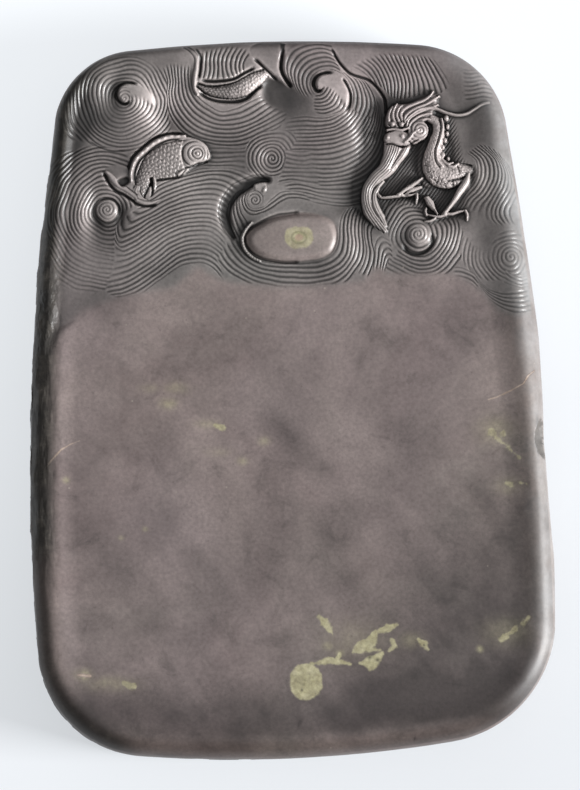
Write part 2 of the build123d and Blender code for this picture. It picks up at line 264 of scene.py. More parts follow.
def strip(points, widths):
    """Cells along a curve: how far along in pixels, how far aside from -1 to 1, half width, mask."""
    line, length = through(points)
    reach = np.interp(np.linspace(0, 1, len(line)), np.linspace(0, 1, len(widths)), widths)
    tangent = np.gradient(line, axis=0)
    tangent /= np.maximum(np.hypot(*tangent.T), 1e-6)[:, None]
    aside = np.linspace(-1, 1, int(2 * max(widths) / STEP) + 3)[:, None]
    x = line[:, 0] - tangent[:, 1] * aside * reach
    y = line[:, 1] + tangent[:, 0] * aside * reach
    along = np.linspace(0, length, len(line)) * np.ones_like(aside)
    (along, aside, reach), found = gather(x, y, along, aside * np.ones(len(line)), reach)
    return along, aside, np.where(found, reach, 1), found.astype(float), length


def cut(points, width, depth, ends=(6, 6)):
    """A line cut with a round gouge, run out at both ends."""
    along, aside, reach, mask, length = strip(points, [2.2 * width])
    run_out = smooth(along / ends[0]) * smooth((length - along) / ends[1])
    relief.form = relief.form - mask * run_out * depth * np.exp(-((aside * 2.2) ** 2))


def ridge(points, widths, top, rise, detail=None, crown=0.5):
    """A rounded band that stands on the form: top is its crest, rise how far its edges drop."""
    along, aside, reach, mask, length = strip(points, widths)
    tops = np.interp(along, np.linspace(0, length, len(top)), top) if np.ndim(top) else top
    form = tops - rise * (1 - np.sqrt(np.clip(1 - aside**2, 0, 1)) ** (2 * crown))
    if detail is not None:
        form = form + detail(along, aside, reach)
    relief.lay(blur(mask, 0.3), form, np.zeros(MAP_SHAPE))


def dome(x, y, wide, high, top, drop, lean=0.0):
    """A round or oval boss."""
    dx, dy = turned(MAP_X - x, MAP_Y - y, lean)
    away = np.hypot(dx / wide, dy / high)
    mask = fade(away, 1.08, -0.16)
    form = top - drop * (1 - np.sqrt(np.clip(1 - away**2, 0, 1)))
    relief.lay(mask, np.maximum(form, relief.form), np.zeros(MAP_SHAPE))


def swell(samples):
    """A smooth surface near the given heights at the given places."""
    y, x = np.mgrid[
        MAP_TOP:MAP_BOTTOM + SWELL_GRID:SWELL_GRID, MAP_LEFT:MAP_RIGHT + SWELL_GRID:SWELL_GRID
    ].astype(float)
    total, weight = np.zeros(x.shape), np.full(x.shape, 1e-9)
    for sx, sy, sh in samples:
        near = bell(x - sx, y - sy, SWELL_SPREAD, SWELL_SPREAD) + 1e-6
        total += near * sh
        weight += near
    form = np.clip(SWELL_MEAN + SWELL_GAIN * (total / weight - SWELL_MIDDLE), LOWEST, SWELL_TOP)
    return lookup(form, (MAP_X - MAP_LEFT) / SWELL_GRID, (MAP_Y - MAP_TOP) / SWELL_GRID)


def lookup(values, column, row):
    """Values of a map between its cells."""
    column = np.clip(column, 0, values.shape[1] - 1.001)
    row = np.clip(row, 0, values.shape[0] - 1.001)
    c, r = column.astype(int), row.astype(int)
    u, v = column - c, row - r
    return (
        values[r, c] * (1 - u) * (1 - v) + values[r, c + 1] * u * (1 - v)
        + values[r + 1, c] * (1 - u) * v + values[r + 1, c + 1] * u * v
    )


# The swell of the waves before anything is cut
relief = Relief(swell([
    (60, 90, -1.4), (75, 112, -1.6), (90, 95, -1.0), (108, 85, -0.7), (120, 70, -0.8), (118, 96, -1.7),
    (135, 104, -0.5), (150, 108, -0.7), (158, 118, -1.1), (167, 110, -1.8), (140, 70, -0.9),
    (130, 130, -0.9), (110, 130, -1.3), (90, 130, -1.5), (105, 146, -1.3), (60, 150, -1.6), (160, 80, -1.3),
    (150, 55, -0.4), (180, 55, -0.4), (178, 80, -1.2), (188, 100, -1.1), (175, 115, -1.5), (192, 120, -1.2),
    (215, 108, -0.8), (235, 112, -1.0), (220, 130, -1.5), (220, 146, -1.9), (255, 105, -1.0),
    (255, 125, -1.5), (275, 118, -1.7), (265, 135, -1.3), (222, 58, -0.9), (210, 72, -1.1), (240, 62, -1.0),
    (262, 52, -0.5), (272, 66, -0.6), (300, 62, -0.8), (290, 72, -1.3), (308, 84, -1.2), (325, 60, -0.8),
    (318, 84, -1.5), (322, 46, -0.4), (355, 50, -0.5), (330, 84, -0.7), (338, 92, -0.5), (356, 95, -1.2),
    (370, 98, -1.9), (300, 110, -1.7), (320, 120, -1.2), (345, 122, -1.1), (320, 140, -1.2),
    (348, 145, -1.2), (300, 145, -1.4), (330, 165, -1.3), (358, 160, -1.8), (330, 188, -1.5),
    (352, 190, -2.0), (300, 175, -1.2), (290, 160, -1.3), (384, 110, -3.2), (382, 130, -3.5),
    (380, 155, -3.5), (372, 175, -3.3), (362, 200, -2.6), (372, 215, -2.4), (262, 150, -1.0),
    (272, 156, -1.1), (245, 155, -1.7), (230, 165, -1.7), (225, 180, -1.6), (250, 200, -0.9),
    (262, 205, -0.8), (285, 196, -0.7), (308, 198, -1.0), (238, 215, -1.5), (240, 235, -1.5),
    (345, 230, -1.0), (365, 240, -1.1), (345, 255, -1.1), (300, 270, -1.3), (265, 268, -1.3),
    (240, 255, -1.3), (380, 250, -1.2), (384, 232, -1.3), (70, 212, -1.2), (60, 220, -1.5), (84, 208, -0.7),
    (96, 217, -1.9), (100, 185, -1.0), (95, 160, -1.1), (75, 175, -1.2), (105, 229, -1.8), (120, 240, -1.1),
    (70, 245, -1.4), (90, 260, -1.3), (60, 275, -1.4), (140, 220, -0.9), (150, 245, -0.9), (130, 265, -1.1),
    (185, 205, -0.9), (195, 230, -0.9), (190, 255, -1.1), (215, 215, -1.1), (215, 245, -1.2),
    (165, 265, -1.2), (210, 190, -1.3), (390, 70, -0.9), (415, 70, -0.9), (440, 70, -1.0), (400, 90, -1.6),
    (425, 84, -1.7), (450, 85, -1.5), (478, 85, -1.1), (460, 105, -1.5), (470, 125, -1.8), (490, 120, -1.4),
    (475, 140, -1.9), (495, 145, -1.3), (425, 150, -3.0), (422, 170, -3.0), (400, 175, -2.6),
    (390, 190, -2.6), (410, 210, -1.7), (450, 205, -2.4), (440, 195, -2.6), (472, 172, -1.3),
    (485, 175, -1.0), (505, 180, -1.1), (475, 205, -1.4), (505, 212, -1.1), (480, 232, -1.5),
    (395, 225, -1.5), (406, 215, -1.3), (418, 232, -1.0), (414, 250, -1.9), (445, 238, -1.0),
    (440, 262, -1.2), (410, 264, -1.3), (512, 256, -1.0), (490, 262, -1.2), (470, 255, -1.3),
    (515, 235, -1.2), (490, 290, -1.3), (518, 300, -1.2), (465, 275, -1.3), (525, 280, -1.1),
]))
# Sharper heaves and hollows of the whorls: place, spread along and across, lean, height
for x, y, wide, high, lean, rise in (
    (101, 78, 8, 17, 0.5, 0.8), (116, 92, 6, 10, 0.2, -1.0), (135, 91, 9, 9, 0.5, 0.95),
    (166, 116, 8, 18, -0.7, -1.0), (96, 120, 12, 10, 0, -0.4), (83, 212, 7, 20, 0, 0.9),
    (97, 216, 5, 9, 0, -0.9), (108, 208, 7, 7, 0, 0.5), (120, 214, 4, 8, 0, -0.8),
    (402, 240, 8, 10, 0, -0.6), (420, 234, 8, 8, 0, 0.5), (332, 83, 10, 9, 0.3, 0.7),
    (353, 100, 6, 12, -0.3, -0.8), (315, 84, 4, 6, 0, -0.6), (257, 158, 6, 10, 0, 0.35),
    (272, 160, 7, 7, 0, -0.3), (150, 238, 40, 10, -0.5, 0.35), (170, 262, 30, 8, -0.4, -0.3),
    (60, 165, 8, 20, 0.3, -0.5), (480, 172, 6, 16, 0, 0.5), (352, 236, 6, 16, 0, 0.5),
):
    relief.form = relief.form + rise * bell(*turned(MAP_X - x, MAP_Y - y, lean), wide, high)
relief.form = np.clip(relief.form, LOWEST, HIGHEST)
BASE = relief.form.copy()


def waves(guides, counts, outline=None, **more):
    """Lays a family of grooves on the relief, inside an outline if one is given."""
    groove, mask = family(guides, counts, **more)
    if outline is not None:
        mask = mask * within(outline)
    relief.lay(mask, groove=groove)


def wind(outline, soft, centre, pitch, form=None, **more):
    """Lays grooves wound about a centre on the relief, inside an outline with a soft edge."""
    relief.lay(within(outline, soft), form, whorl(centre, pitch, **more))


def smooth_patch(points, form, soft=0.5):
    """Lays a patch without grooves."""
    relief.lay(within(points, soft), form, np.zeros(MAP_SHAPE))


def plane(x, y, height, right, down):
    """A height that changes evenly by so much per pixel to the right and down."""
    return height + (MAP_X - x) * right + (MAP_Y - y) * down


def mound(x, y, top, fall, squeeze=1.0):
    """A height that falls away ever more steeply round a place."""
    return top - fall * ((MAP_X - x) ** 2 + squeeze * (MAP_Y - y) ** 2)


def ring(x, y, radius, wide):
    """1 along a circle and next to nothing twice the width away from it."""
    return np.exp(-((np.hypot(MAP_X - x, MAP_Y - y) - radius) / wide) ** 2)


def hairs(count, depth):
    """Lines along a band."""
    return lambda along, aside, reach: ripple((aside + 1) * count / 2) * depth


def strands(spacing, depth):
    """Lines along a band, evenly spaced in pixels whatever its width."""
    return lambda along, aside, reach: ripple(aside * reach / spacing) * depth


def beads(pitch, depth):
    """A waver along a band."""
    return lambda along, aside, reach: depth * np.sin(along * pitch)


def scales(length, rows, depth):
    """Rows of overlapping scales across a band."""

    def pattern(along, aside, reach):
        along = along + 0.5 * np.sin(MAP_X * 1.3 + MAP_Y * 0.7) + 0.4 * np.sin(MAP_Y * 1.9)
        row = (aside + 1) * rows / 2 + 0.16 * np.sin(along * 0.9)
        odd = np.floor(row) % 2
        place = along / length + 0.5 * odd
        u = place - np.floor(place) - 0.5
        v = row - np.floor(row) - 0.5
        return depth * (0.9 * (0.5 - u) * (1 - 3.2 * v * v) - 0.6)

    return pattern


# The two large whorls at the left
wind(
    [(62, 92), (78, 72), (100, 60), (128, 57), (150, 62), (163, 74), (169, 92), (168, 112), (170, 128),
     (158, 139), (143, 150), (124, 152), (100, 148), (84, 141), (66, 136), (58, 118)],
    0.8, (124, 99), 3.95, turn=-1, slide=0.2,
)
wind(
    [(50, 165), (70, 152), (95, 146), (118, 150), (128, 160), (126, 178), (118, 186), (128, 196),
     (136, 204), (124, 212), (116, 226), (114, 250), (108, 286), (84, 290), (60, 282), (48, 240),
     (47, 200)],
    0.8, (107, 211), 4.05, slide=0.1, squeeze=1.04,
)

# Belly of the great wave, from the left whorl up to its crest and down again
waves(
    [[(150, 190), (165, 178), (187, 172), (200, 168), (215, 166), (232, 167), (246, 172), (258, 178)],
     [(140, 206), (152, 199), (165, 192), (180, 186), (197, 181), (212, 179), (226, 182), (238, 190)],
     [(117, 223), (120, 236), (135, 231), (150, 222), (168, 212), (186, 206), (204, 204), (216, 206),
      (228, 214)],
     [(112, 262), (130, 258), (150, 246), (168, 234), (187, 227), (205, 226), (216, 230), (227, 240)],
     [(104, 290), (128, 284), (150, 270), (170, 255), (187, 247), (204, 246), (215, 251), (226, 262)],
     [(118, 300), (138, 296), (160, 281), (178, 268), (191, 264), (204, 264), (214, 270), (224, 282)]],
    [3, 5, 5, 4.6, 3.6], ends=(5, 9), sides=(1.5, 2),
)
# Short lines between the carp's snout and the small whorl
waves(
    [[(207, 147), (222, 147), (238, 148), (247, 146)],
     [(205, 158), (218, 159), (233, 158), (246, 158)],
     [(200, 168), (215, 167), (232, 168), (246, 172)]],
    [2.5, 2.3], ends=(3, 4), depth=0.26,
)
# Waves that come down beside the first whorl and turn under the arching fish
waves(
    [[(192, 64), (191.5, 78), (193, 89), (199, 97), (209, 105), (222, 111), (236, 108), (249, 102),
      (262, 96)],
     [(181, 63), (181, 80), (182, 92), (188, 105), (199, 116), (215, 123), (232, 124), (250, 119),
      (272, 105)],
     [(169, 62), (172, 80), (171, 95), (175, 110), (186, 124), (200, 133), (218, 137), (238, 137),
      (260, 128), (288, 113)],
     [(160, 66), (166, 80), (166, 95), (168, 112), (177, 127), (191, 138), (210, 144), (232, 146),
      (252, 142), (280, 127)]],
    [3, 3.2, 2.1], ends=(8, 2), sides=(0.5, 1.5),
)
# Waves over the arching fish
waves(
    [[(201, 51), (201.5, 60), (200.5, 70), (199, 79)],
     [(219, 47), (215, 58), (215, 68), (213, 80)],
     [(235, 46), (228, 58), (227, 68), (231, 79)],
     [(247, 49), (241, 57), (238.5, 66), (240, 75)],
     [(252, 55), (247, 60), (245, 65), (246, 71)]],
    [3.4, 3, 2.6, 1.6], ends=(5, 2),
)
# Whorl at the head: its outer arcs, then the bowl of long lines under it
waves(
    [[(316, 96), (311, 88), (311, 79), (317, 72.5), (325, 70), (334, 71), (342, 75)],
     [(308, 99), (301, 87), (300, 75), (306, 66), (316, 61), (328, 59.5), (338, 64)],
     [(300, 96), (292, 81), (291, 68), (297, 57), (309, 51), (322, 49.5), (334, 53)],
     [(292, 88), (285, 74), (283.5, 60), (287, 49), (298, 43), (312, 41.5), (332, 42)]],
    [2.5, 2.4, 2.1], ends=(9, 2), sides=(0.5, 3),
)
waves(
    [[(349, 104), (341, 112), (331, 116), (318, 117), (302, 116), (286, 118)],
     [(353, 98), (351, 109), (345, 117), (334, 124), (318, 127), (300, 127), (280, 129)],
     [(368, 94), (369, 106), (365, 120), (355, 133), (340, 142), (320, 146), (297, 146), (280, 146)],
     [(378, 100), (381, 114), (378, 130), (370, 148), (358, 160), (342, 168), (322, 170), (300, 168),
      (286, 170)],
     [(386, 130), (384, 150), (376, 168), (360, 180), (340, 185), (318, 185), (298, 181), (282, 183)],
     [(384, 170), (378, 186), (364, 195), (346, 199), (326, 198), (306, 194), (288, 194)],
     [(376, 195), (366, 203), (352, 205), (336, 206), (318, 204)]],
    [2.3, 5, 5.2, 3.8, 3.1, 2], ends=(5, 8),
)
waves(
    [[(340, 72), (347, 80), (351.5, 89), (353, 98), (351, 109)],
     [(346, 72), (357, 80), (363, 92), (363.5, 104), (360, 115)],
     [(352, 74), (366, 82), (374, 94), (376, 106), (373, 118)]],
    [2.5, 2.9], ends=(3, 3),
)
# Waves over the dragon's horns, and the short ripples at the corner
waves(
    [[(349, 66), (358, 70), (366, 76), (372, 82)],
     [(361, 59), (371, 67), (378, 77), (383, 88)],
     [(375, 54), (385, 66), (391, 80), (392, 97)],
     [(390, 52), (398, 67), (402.5, 82), (402, 99)],
     [(407, 54), (413, 67), (418.5, 82), (420, 96)],
     [(422, 55), (430, 69), (437, 82), (441, 93)],
     [(434, 58), (443, 70), (452, 83)]],
    [2.4, 3, 3, 3.8, 3.7, 2.6], ends=(7, 2), sides=(1, 7),
)
waves(
    [[(461, 69), (470, 70), (480, 69), (488, 72)],
     [(461, 86), (472, 86), (482, 84), (494, 86)],
     [(463, 103), (472, 102), (482, 100), (494, 101)]],
    [3.9, 3.8], ends=(4, 4), depth=0.26,
)
# Waves that turn down beside the dragon's hip
waves(
    [[(466, 152), (475, 160), (477, 172), (473, 184), (465, 192), (459, 200), (457, 208)],
     [(472, 148), (484, 160), (486, 176), (480, 190), (470, 200), (465, 210)],
     [(478, 144), (494, 160), (496, 178), (489, 194), (480, 205), (475, 216)],
     [(488, 146), (503, 166), (505, 182), (498, 197), (492, 208), (492, 218), (498, 227)],
     [(500, 154), (511, 172), (514, 186), (508, 198), (502, 208), (502, 217), (508, 226)],
     [(509, 163), (518, 180), (522, 192), (517, 203), (513, 211), (514, 218), (519, 226)]],
    [2.4, 2.4, 2.4, 2.4, 2.2], ends=(4, 7), sides=(0.5, 2),
)
# Small whorls: in the middle, under the dragon, and at the right edge
wind(
    [(246, 150), (249, 140), (258, 133), (272, 130), (290, 131), (296, 140), (290, 150), (285, 160),
     (283, 170), (274, 177), (260, 176), (249, 170), (246, 160)],
    0.7, (272, 158), 3.75, slide=0.35,
)
waves(
    [[(283, 148), (292, 150), (302, 151), (312, 150)],
     [(284, 160), (294, 162), (304, 163), (314, 161)],
     [(280, 172), (292, 172), (304, 172), (318, 172)],
     [(276, 186), (288, 182), (302, 184), (322, 187)]],
    [2.7, 2.4, 2.8], ends=(3, 5), depth=0.28,
)
wind(
    [(382, 208), (389, 200), (404, 199), (420, 203), (440, 210), (455, 216), (462, 230), (464, 248),
     (459, 262), (450, 273), (430, 276), (400, 276), (386, 270), (386, 262), (398, 252), (390, 238),
     (383, 222)],
    0.7, (418, 234), 4.25, slide=0.5, squeeze=0.96,
)
wind(
    [(464, 236), (474, 246), (486, 252), (494, 240), (504, 232), (520, 232), (527, 246), (528, 266),
     (518, 276), (500, 280), (480, 278), (466, 266), (460, 250)],
    0.8, (511, 257), 4.2, turn=-1, slide=0.2, depth=0.22,
)
# Fan of waves at the right edge of the grinding field
waves(
    [[(474, 268), (480, 279), (490, 288), (503, 291), (516, 289), (530, 285)],
     [(466, 262), (476, 282), (489, 300), (503, 310), (518, 314), (534, 311)]],
    [5.4], ends=(3, 5), sides=(3, 2), depth=0.28,
)
waves(
    [[(452, 266), (462, 267), (472, 272), (479, 280)],
     [(452, 285), (462, 285), (470, 288), (477, 293)]],
    [4], ends=(4, 2), depth=0.28,
)
waves(
    [[(505, 268), (512, 274), (522, 276), (532, 272)],
     [(503, 282), (512, 286), (522, 288), (534, 285)]],
    [3], ends=(2, 3), depth=0.24,
)
# Bundle of lines that runs round the right side and the foot of the disc
waves(
    [[(346, 208), (341, 217), (338.5, 228), (339, 239), (335, 250), (325, 258), (309, 262), (290, 263),
      (270, 262), (256, 257), (246, 247), (241, 237)],
     [(354, 205), (349, 214), (347, 227), (348, 241), (345, 255), (336, 265), (320, 271), (300, 272),
      (278, 271), (258, 267), (243, 258), (234, 246), (230, 237)],
     [(361, 208), (357, 218), (355.5, 231), (356.5, 245), (353, 259), (345, 271), (333, 279), (315, 283),
      (296, 284), (276, 282), (255, 277), (240, 269), (228, 259), (221, 247)],
     [(369, 215), (365, 222), (364, 233), (365.5, 247), (363, 261), (356, 273), (347, 283), (332, 291),
      (312, 294), (290, 294), (266, 291), (246, 284), (228, 273), (214, 260)]],
    [2, 2.3, 2.3], ends=(3, 6), sides=(0.5, 2), outline=[
        (330, 200), (362, 200), (374, 214), (374, 262), (358, 279), (334, 283), (290, 287), (256, 283),
        (228, 284), (210, 270), (212, 240), (234, 232), (244, 234), (250, 256), (300, 262), (330, 256),
        (338, 236),
    ],
)
waves(
    [[(368, 216), (364, 223), (363.5, 234), (365.5, 248), (363, 262), (357, 275)],
     [(377, 224), (372.5, 231), (372.5, 241), (374.5, 252), (373, 265), (367, 279)]],
    [2.2], ends=(3, 6),
)
waves(
    [[(372, 272), (374, 256), (375, 244), (381, 236), (391, 240)],
     [(379, 274), (381, 260), (383, 250), (388, 247), (393, 251)],
     [(385, 274), (387, 265), (390, 260), (394, 264)]],
    [1.9, 2.4], ends=(6, 3),
)
# The crest that breaks over the disc: its curl, the lines above the disc and those down its left
waves(
    [[(254, 190), (249, 193), (247, 200), (250, 207), (257, 208), (265, 206), (272, 199), (281, 192),
      (293, 190), (306, 192)],
     [(249, 185), (243, 190), (240, 200), (243, 210), (250, 216), (260, 215), (271, 211), (281, 204),
      (293, 199), (314, 203)]],
    [2.6], ends=(2, 6),
)
waves(
    [[(247, 187), (241, 193), (239, 202), (241, 211), (246, 219), (250, 226)],
     [(240, 189), (234, 198), (232, 210), (235, 223), (242, 236)],
     [(236, 191), (229, 201), (226, 214), (230, 228), (237, 240)]],
    [2.3, 1.8], ends=(2, 3),
)
wind([(251, 192), (258, 190), (263, 196), (262, 203), (255, 207), (250, 202)], 0.5,
     (255, 200), 3.3, slide=0.4, depth=0.26)

# Smooth strips and the sharp lines between the waves at the head
smooth_patch([(250, 49), (262, 42), (281, 42), (279, 55), (279.5, 70), (284, 80), (290, 88), (277, 80),
              (265, 69), (254, 60)], plane(270, 62, -0.75, -0.012, 0.012))
smooth_patch([(262, 85), (269, 77), (279, 79), (290, 85), (303, 97), (306, 105), (291, 113), (279, 110),
              (265, 101)], plane(283, 96, -2.7, 0.02, 0.01), 3.0)
ridge([(184, 47), (191, 51), (196, 58), (197, 68), (195, 80), (194.5, 89), (198, 95)],
      [1.5, 2.2, 2.4, 2.2, 1.8, 1.2], -0.45, 0.7)
cut([(195, 48), (200, 56), (201, 68), (199, 80)], 1.3, 0.9)
cut([(283, 43), (282, 52), (281, 64), (282, 72), (286, 80), (292, 88)], 1.9, 1.8, ends=(1, 6))
cut([(253, 58), (262, 66), (271, 74), (278, 81)], 1.3, 1.2)
cut([(331, 48), (336, 57), (341, 65), (349, 73), (360, 77), (370, 81), (379, 89), (385, 100), (387, 118)],
    1.2, 1.1)
cut([(88, 140), (100, 147), (112, 150.5), (126, 151)], 0.9, 0.35)

# Commas: the smooth heads of two whorls
smooth_patch([(119, 99), (117, 93), (119.5, 87), (127, 83), (136, 83.5), (146, 88), (154, 97), (153, 104),
              (146, 100), (137, 97), (131, 97), (128, 102), (123, 102)],
             plane(135, 92, -0.5, -0.014, -0.012), 1.5)
wind([(119, 97), (119, 90), (124, 87), (129, 91), (130, 97), (127, 102), (122, 101)], 0.6,
     (124, 98), 3.3, turn=-1, slide=0.5, depth=0.3)
cut([(139, 83.5), (127, 82.5), (119.5, 86), (116.5, 93), (119, 100), (126, 103.5), (130, 100)], 1.5, 1.1,
    ends=(8, 5))
smooth_patch([(318, 89), (315, 84), (317, 77.5), (323, 74.5), (332, 74.5), (340, 77), (346, 84), (349, 94),
              (347, 106), (342, 100), (334, 92), (326, 88)], plane(332, 83, -0.45, -0.012, -0.012), 1.4)
wind([(319, 90), (326, 88), (334, 92), (341, 98), (346, 106), (340, 112), (328, 114), (316, 112),
      (314, 100)], 0.8, (317, 86), 3.7, slide=0.1)
cut([(334, 73.5), (324, 73), (316.5, 77), (313.8, 84), (317, 90.5), (323, 91)], 1.5, 1.2, ends=(8, 4))
cut([(342, 78), (347, 86), (350.5, 95), (350, 104), (345, 113)], 1.1, 1.0, ends=(4, 9))

# Heads of the left and the dragon's whorls
wind([(97, 204), (105, 199), (114, 201), (118, 209), (116, 217), (108, 221), (99, 219), (95, 211)], 1.4,
     (107, 210), 3.6, mound(110, 207, -0.95, 0.004), slide=0.3, depth=0.24)
cut([(98, 201), (106, 198), (114, 200.5), (118.5, 207), (118, 216)], 1.2, 0.7, ends=(8, 8))
wind([(409, 228), (416, 223), (425, 226), (429, 235), (425, 243), (416, 245), (409, 239)], 1.3,
     (418, 234), 3.7, mound(423, 234, -0.65, 0.005), slide=0.3, depth=0.28)
cut([(402, 243), (408, 251), (418, 253.5), (428, 249), (433, 240), (431, 231)], 2.0, 1.0, ends=(8, 10))

# Hollow behind the breaking crest, and the crest's tip
crest = [(270, 180), (260, 178), (248, 183), (236, 190), (228, 200), (224.5, 213), (227, 226), (234, 238)]
_, aside, _, mask, _ = strip(crest, [1.5, 4.5, 6, 6, 5.5, 4.5, 2])
relief.lay(blur(mask, 1.6), -3.2 + 0.5 * aside)
dome(264.5, 189, 3.4, 5.6, -0.3, 1.6, lean=0.15)
smooth_patch([(254, 184), (262, 182), (266, 184), (262, 190), (256, 190)],
             plane(260, 187, -0.7, 0.01, 0.02), 0.6)

# Sun disc
disc = [(246, 237), (252, 229), (262, 222.7), (279, 216), (303, 213), (321.5, 215.4), (332.4, 221.5),
        (337, 232), (336.6, 244.5), (327.5, 255.4), (303, 260.5), (279, 260.3), (262, 256.6), (251, 249.4)]
inside = within(disc, 0)
DISC_SOFT = blur(inside, 1.0)
relief.lay(within(disc, 0.4), -1.45 + 1.0 * smooth(2.0 * blur(inside, 4.2) - 0.95) * inside,
           np.zeros(MAP_SHAPE))
cut([(300, 212), (279, 215), (262, 221.5), (250, 229), (245, 239), (250, 251), (262, 258), (279, 261.5),
     (300, 262)], 1.3, 0.8)
ridge([(252, 222), (246.5, 229), (242.5, 238), (245, 250), (252, 257), (260, 260.5)],
      [0.8, 1.4, 1.6, 1.5, 1.3, 0.7], -0.7, 0.6, beads(2.2, 0.15))

# Arching fish
ridge([(197, 85), (206, 89), (218, 91), (233, 91), (246, 86.5), (257, 78.5), (266, 72.5)],
      [2.2, 5.0, 7.0, 8.2, 9.0, 8.0, 5.0], [-2.0, -1.6, -1.2, -0.6, -0.25, -0.3, -0.7], 1.7,
      scales(3.6, 5.0, 0.42))
cut([(198, 91), (207, 97), (221, 101), (236, 101.5), (247, 98), (256, 90), (263, 84)], 1.9, 1.5)
cut([(200, 80.5), (218, 80.5), (233, 79), (245, 73), (256, 67.5)], 1.5, 1.3)

# Carp
smooth_patch([(184, 136), (197, 139), (206, 146), (209, 156), (203, 162), (190, 165), (184, 172),
              (178, 176), (168, 178), (158, 180), (152, 184), (150, 196), (147, 203), (138, 202),
              (133, 192), (131, 180), (132, 170), (137, 160), (146, 150), (157, 142), (170, 137)],
             plane(170, 158, -1.0, 0.004, 0.004), 0.6)
ridge([(206, 153), (196, 153), (184, 155), (170, 160), (155, 167), (145, 178), (141, 190), (140, 200)],
      [5, 13, 16.5, 18, 15.5, 10, 7, 4], [-0.5, -0.25, -0.2, -0.25, -0.4, -0.6, -0.7, -0.9], 1.5,
      scales(4.2, 8.0, 0.42), crown=0.4)
smooth_patch([(186, 139), (196, 140), (205, 146), (210, 156), (204, 161), (193, 164), (186, 168),
              (182, 160), (182, 148)], mound(194, 153, -0.3, 0.0042, 0.8))
relief.lay(within([(184, 142), (195, 141), (206, 148), (207, 160), (196, 166), (185, 164), (181, 152)]),
           groove=-0.4 * ring(195, 154, 12.5, 0.9) - 0.25 * ring(196, 154, 8.3, 0.8))
dome(197, 154, 4.6, 4.6, -0.05, 0.8)
relief.form = relief.form - 0.55 * ring(197, 154, 5.0, 0.8)
relief.form = relief.form - 0.5 * ring(197, 154, 2.0, 0.9)
cut([(184, 168), (191, 166.5), (199, 163), (208, 161)], 0.9, 0.9, ends=(2, 2))
ridge([(178, 175), (183, 172), (188, 169)], [1.8, 2.4, 1.2], -0.3, 0.8)
ridge([(186, 135.4), (177, 135.8), (169, 136.6), (156, 141.5), (145, 150), (136.6, 158.4), (131.4, 170),
       (130.5, 182.5)], [1.0, 1.8, 2.1, 2.2, 2.2, 2.1, 2.0, 1.2], -0.3, 0.8, beads(0.9, 0.12))
cut([(184, 132.5), (168, 133.5), (154, 138.5), (142.5, 147.5), (133.5, 156.5), (128, 170), (127.5, 184)],
    1.5, 1.0)
cut([(182, 138.8), (169, 140), (158, 144.5), (147.5, 153), (139.5, 161), (135, 172), (134.5, 184)], 0.9,
    0.7)
cut([(187, 168), (180, 176), (170, 178.5), (158, 180.5), (153, 184), (152, 192), (150, 198)], 1.0, 0.8)
ridge([(138, 186), (136, 192), (140, 199), (148, 202)], [3, 4.5, 4, 2], -0.6, 0.8, hairs(3, 0.2))
cut([(151, 177), (151.5, 182), (150, 187)], 1.4, 1.3, ends=(1, 2))
ridge([(154, 178), (155, 184), (154, 190)], [1.2, 1.8, 0.8], -0.55, 0.7)

# The carp's tail: two lobes either side of its base
smooth_patch([(104, 171), (110, 166), (119, 165), (128, 168), (130, 178), (133, 188), (134, 199),
              (127, 196), (115, 190), (108, 182)], plane(118, 178, -1.2, 0.01, 0.02), 0.6)
ridge([(105, 172), (111, 176), (118, 184), (127, 190), (136, 197)], [1.4, 3.6, 3.2, 2.6, 2.5], -0.75, 0.8)
smooth_patch([(118, 180), (127, 177), (129, 182), (122, 186)], plane(123, 181, -2.1, 0, 0), 0.8)
cut([(103, 171), (106, 177), (110, 184), (116, 190.5), (124.5, 194.6), (131, 199.5), (137, 204),
     (146, 205.5), (158, 204)], 1.5, 1.2)
ridge([(136, 200), (144, 202.5), (152, 202), (160, 200)], [2.0, 2.3, 1.8, 0.8], -0.7, 0.7)

# Dragon: the hollow ground round it, then its parts from the back forward
relief.lay(within([(388, 112), (400, 100), (412, 110), (436, 112), (452, 118), (458, 140), (462, 158),
                   (474, 168), (474, 182), (466, 200), (468, 216), (452, 216), (430, 224), (424, 210),
                   (404, 204), (384, 202), (374, 190), (386, 168), (384, 140)], 2.0),
           form=np.minimum(BASE, -2.1), groove=ripple((0.8 * MAP_X + 0.6 * MAP_Y) / 3.0) * 0.3)
relief.lay(within([(418, 120), (432, 118), (436, 132), (432, 150), (430, 170), (436, 184), (424, 184),
                   (418, 168), (420, 148), (424, 134)], 1.2), form=-3.0 * np.ones(MAP_SHAPE))
# Body: neck behind the mane, down the back, round the hip to its end
body = [(430, 117), (437, 122), (438.5, 133), (434.5, 148), (434, 163), (441, 173.5), (451, 175.5),
        (461, 171.5), (468, 170), (472.5, 169.5)]
ridge(body, [4.5, 5.5, 6.4, 7.6, 10.0, 13.0, 13.0, 11.5, 9.5, 5.0],
      [-0.8, -0.45, -0.3, -0.25, -0.2, -0.2, -0.25, -0.4, -0.7, -1.5], 1.9, scales(3.2, 7.0, 0.40))
ridge([(441.5, 118), (442.5, 126), (440.5, 138), (437, 150), (437.5, 160), (443, 167)],
      [0.8, 1.2, 1.4, 1.4, 1.3, 0.7], -0.12, 0.6)
cut([(439.5, 118), (440.5, 127), (438, 139), (434.8, 150), (435.5, 161), (441, 169)], 0.8, 0.6, ends=(2, 4))
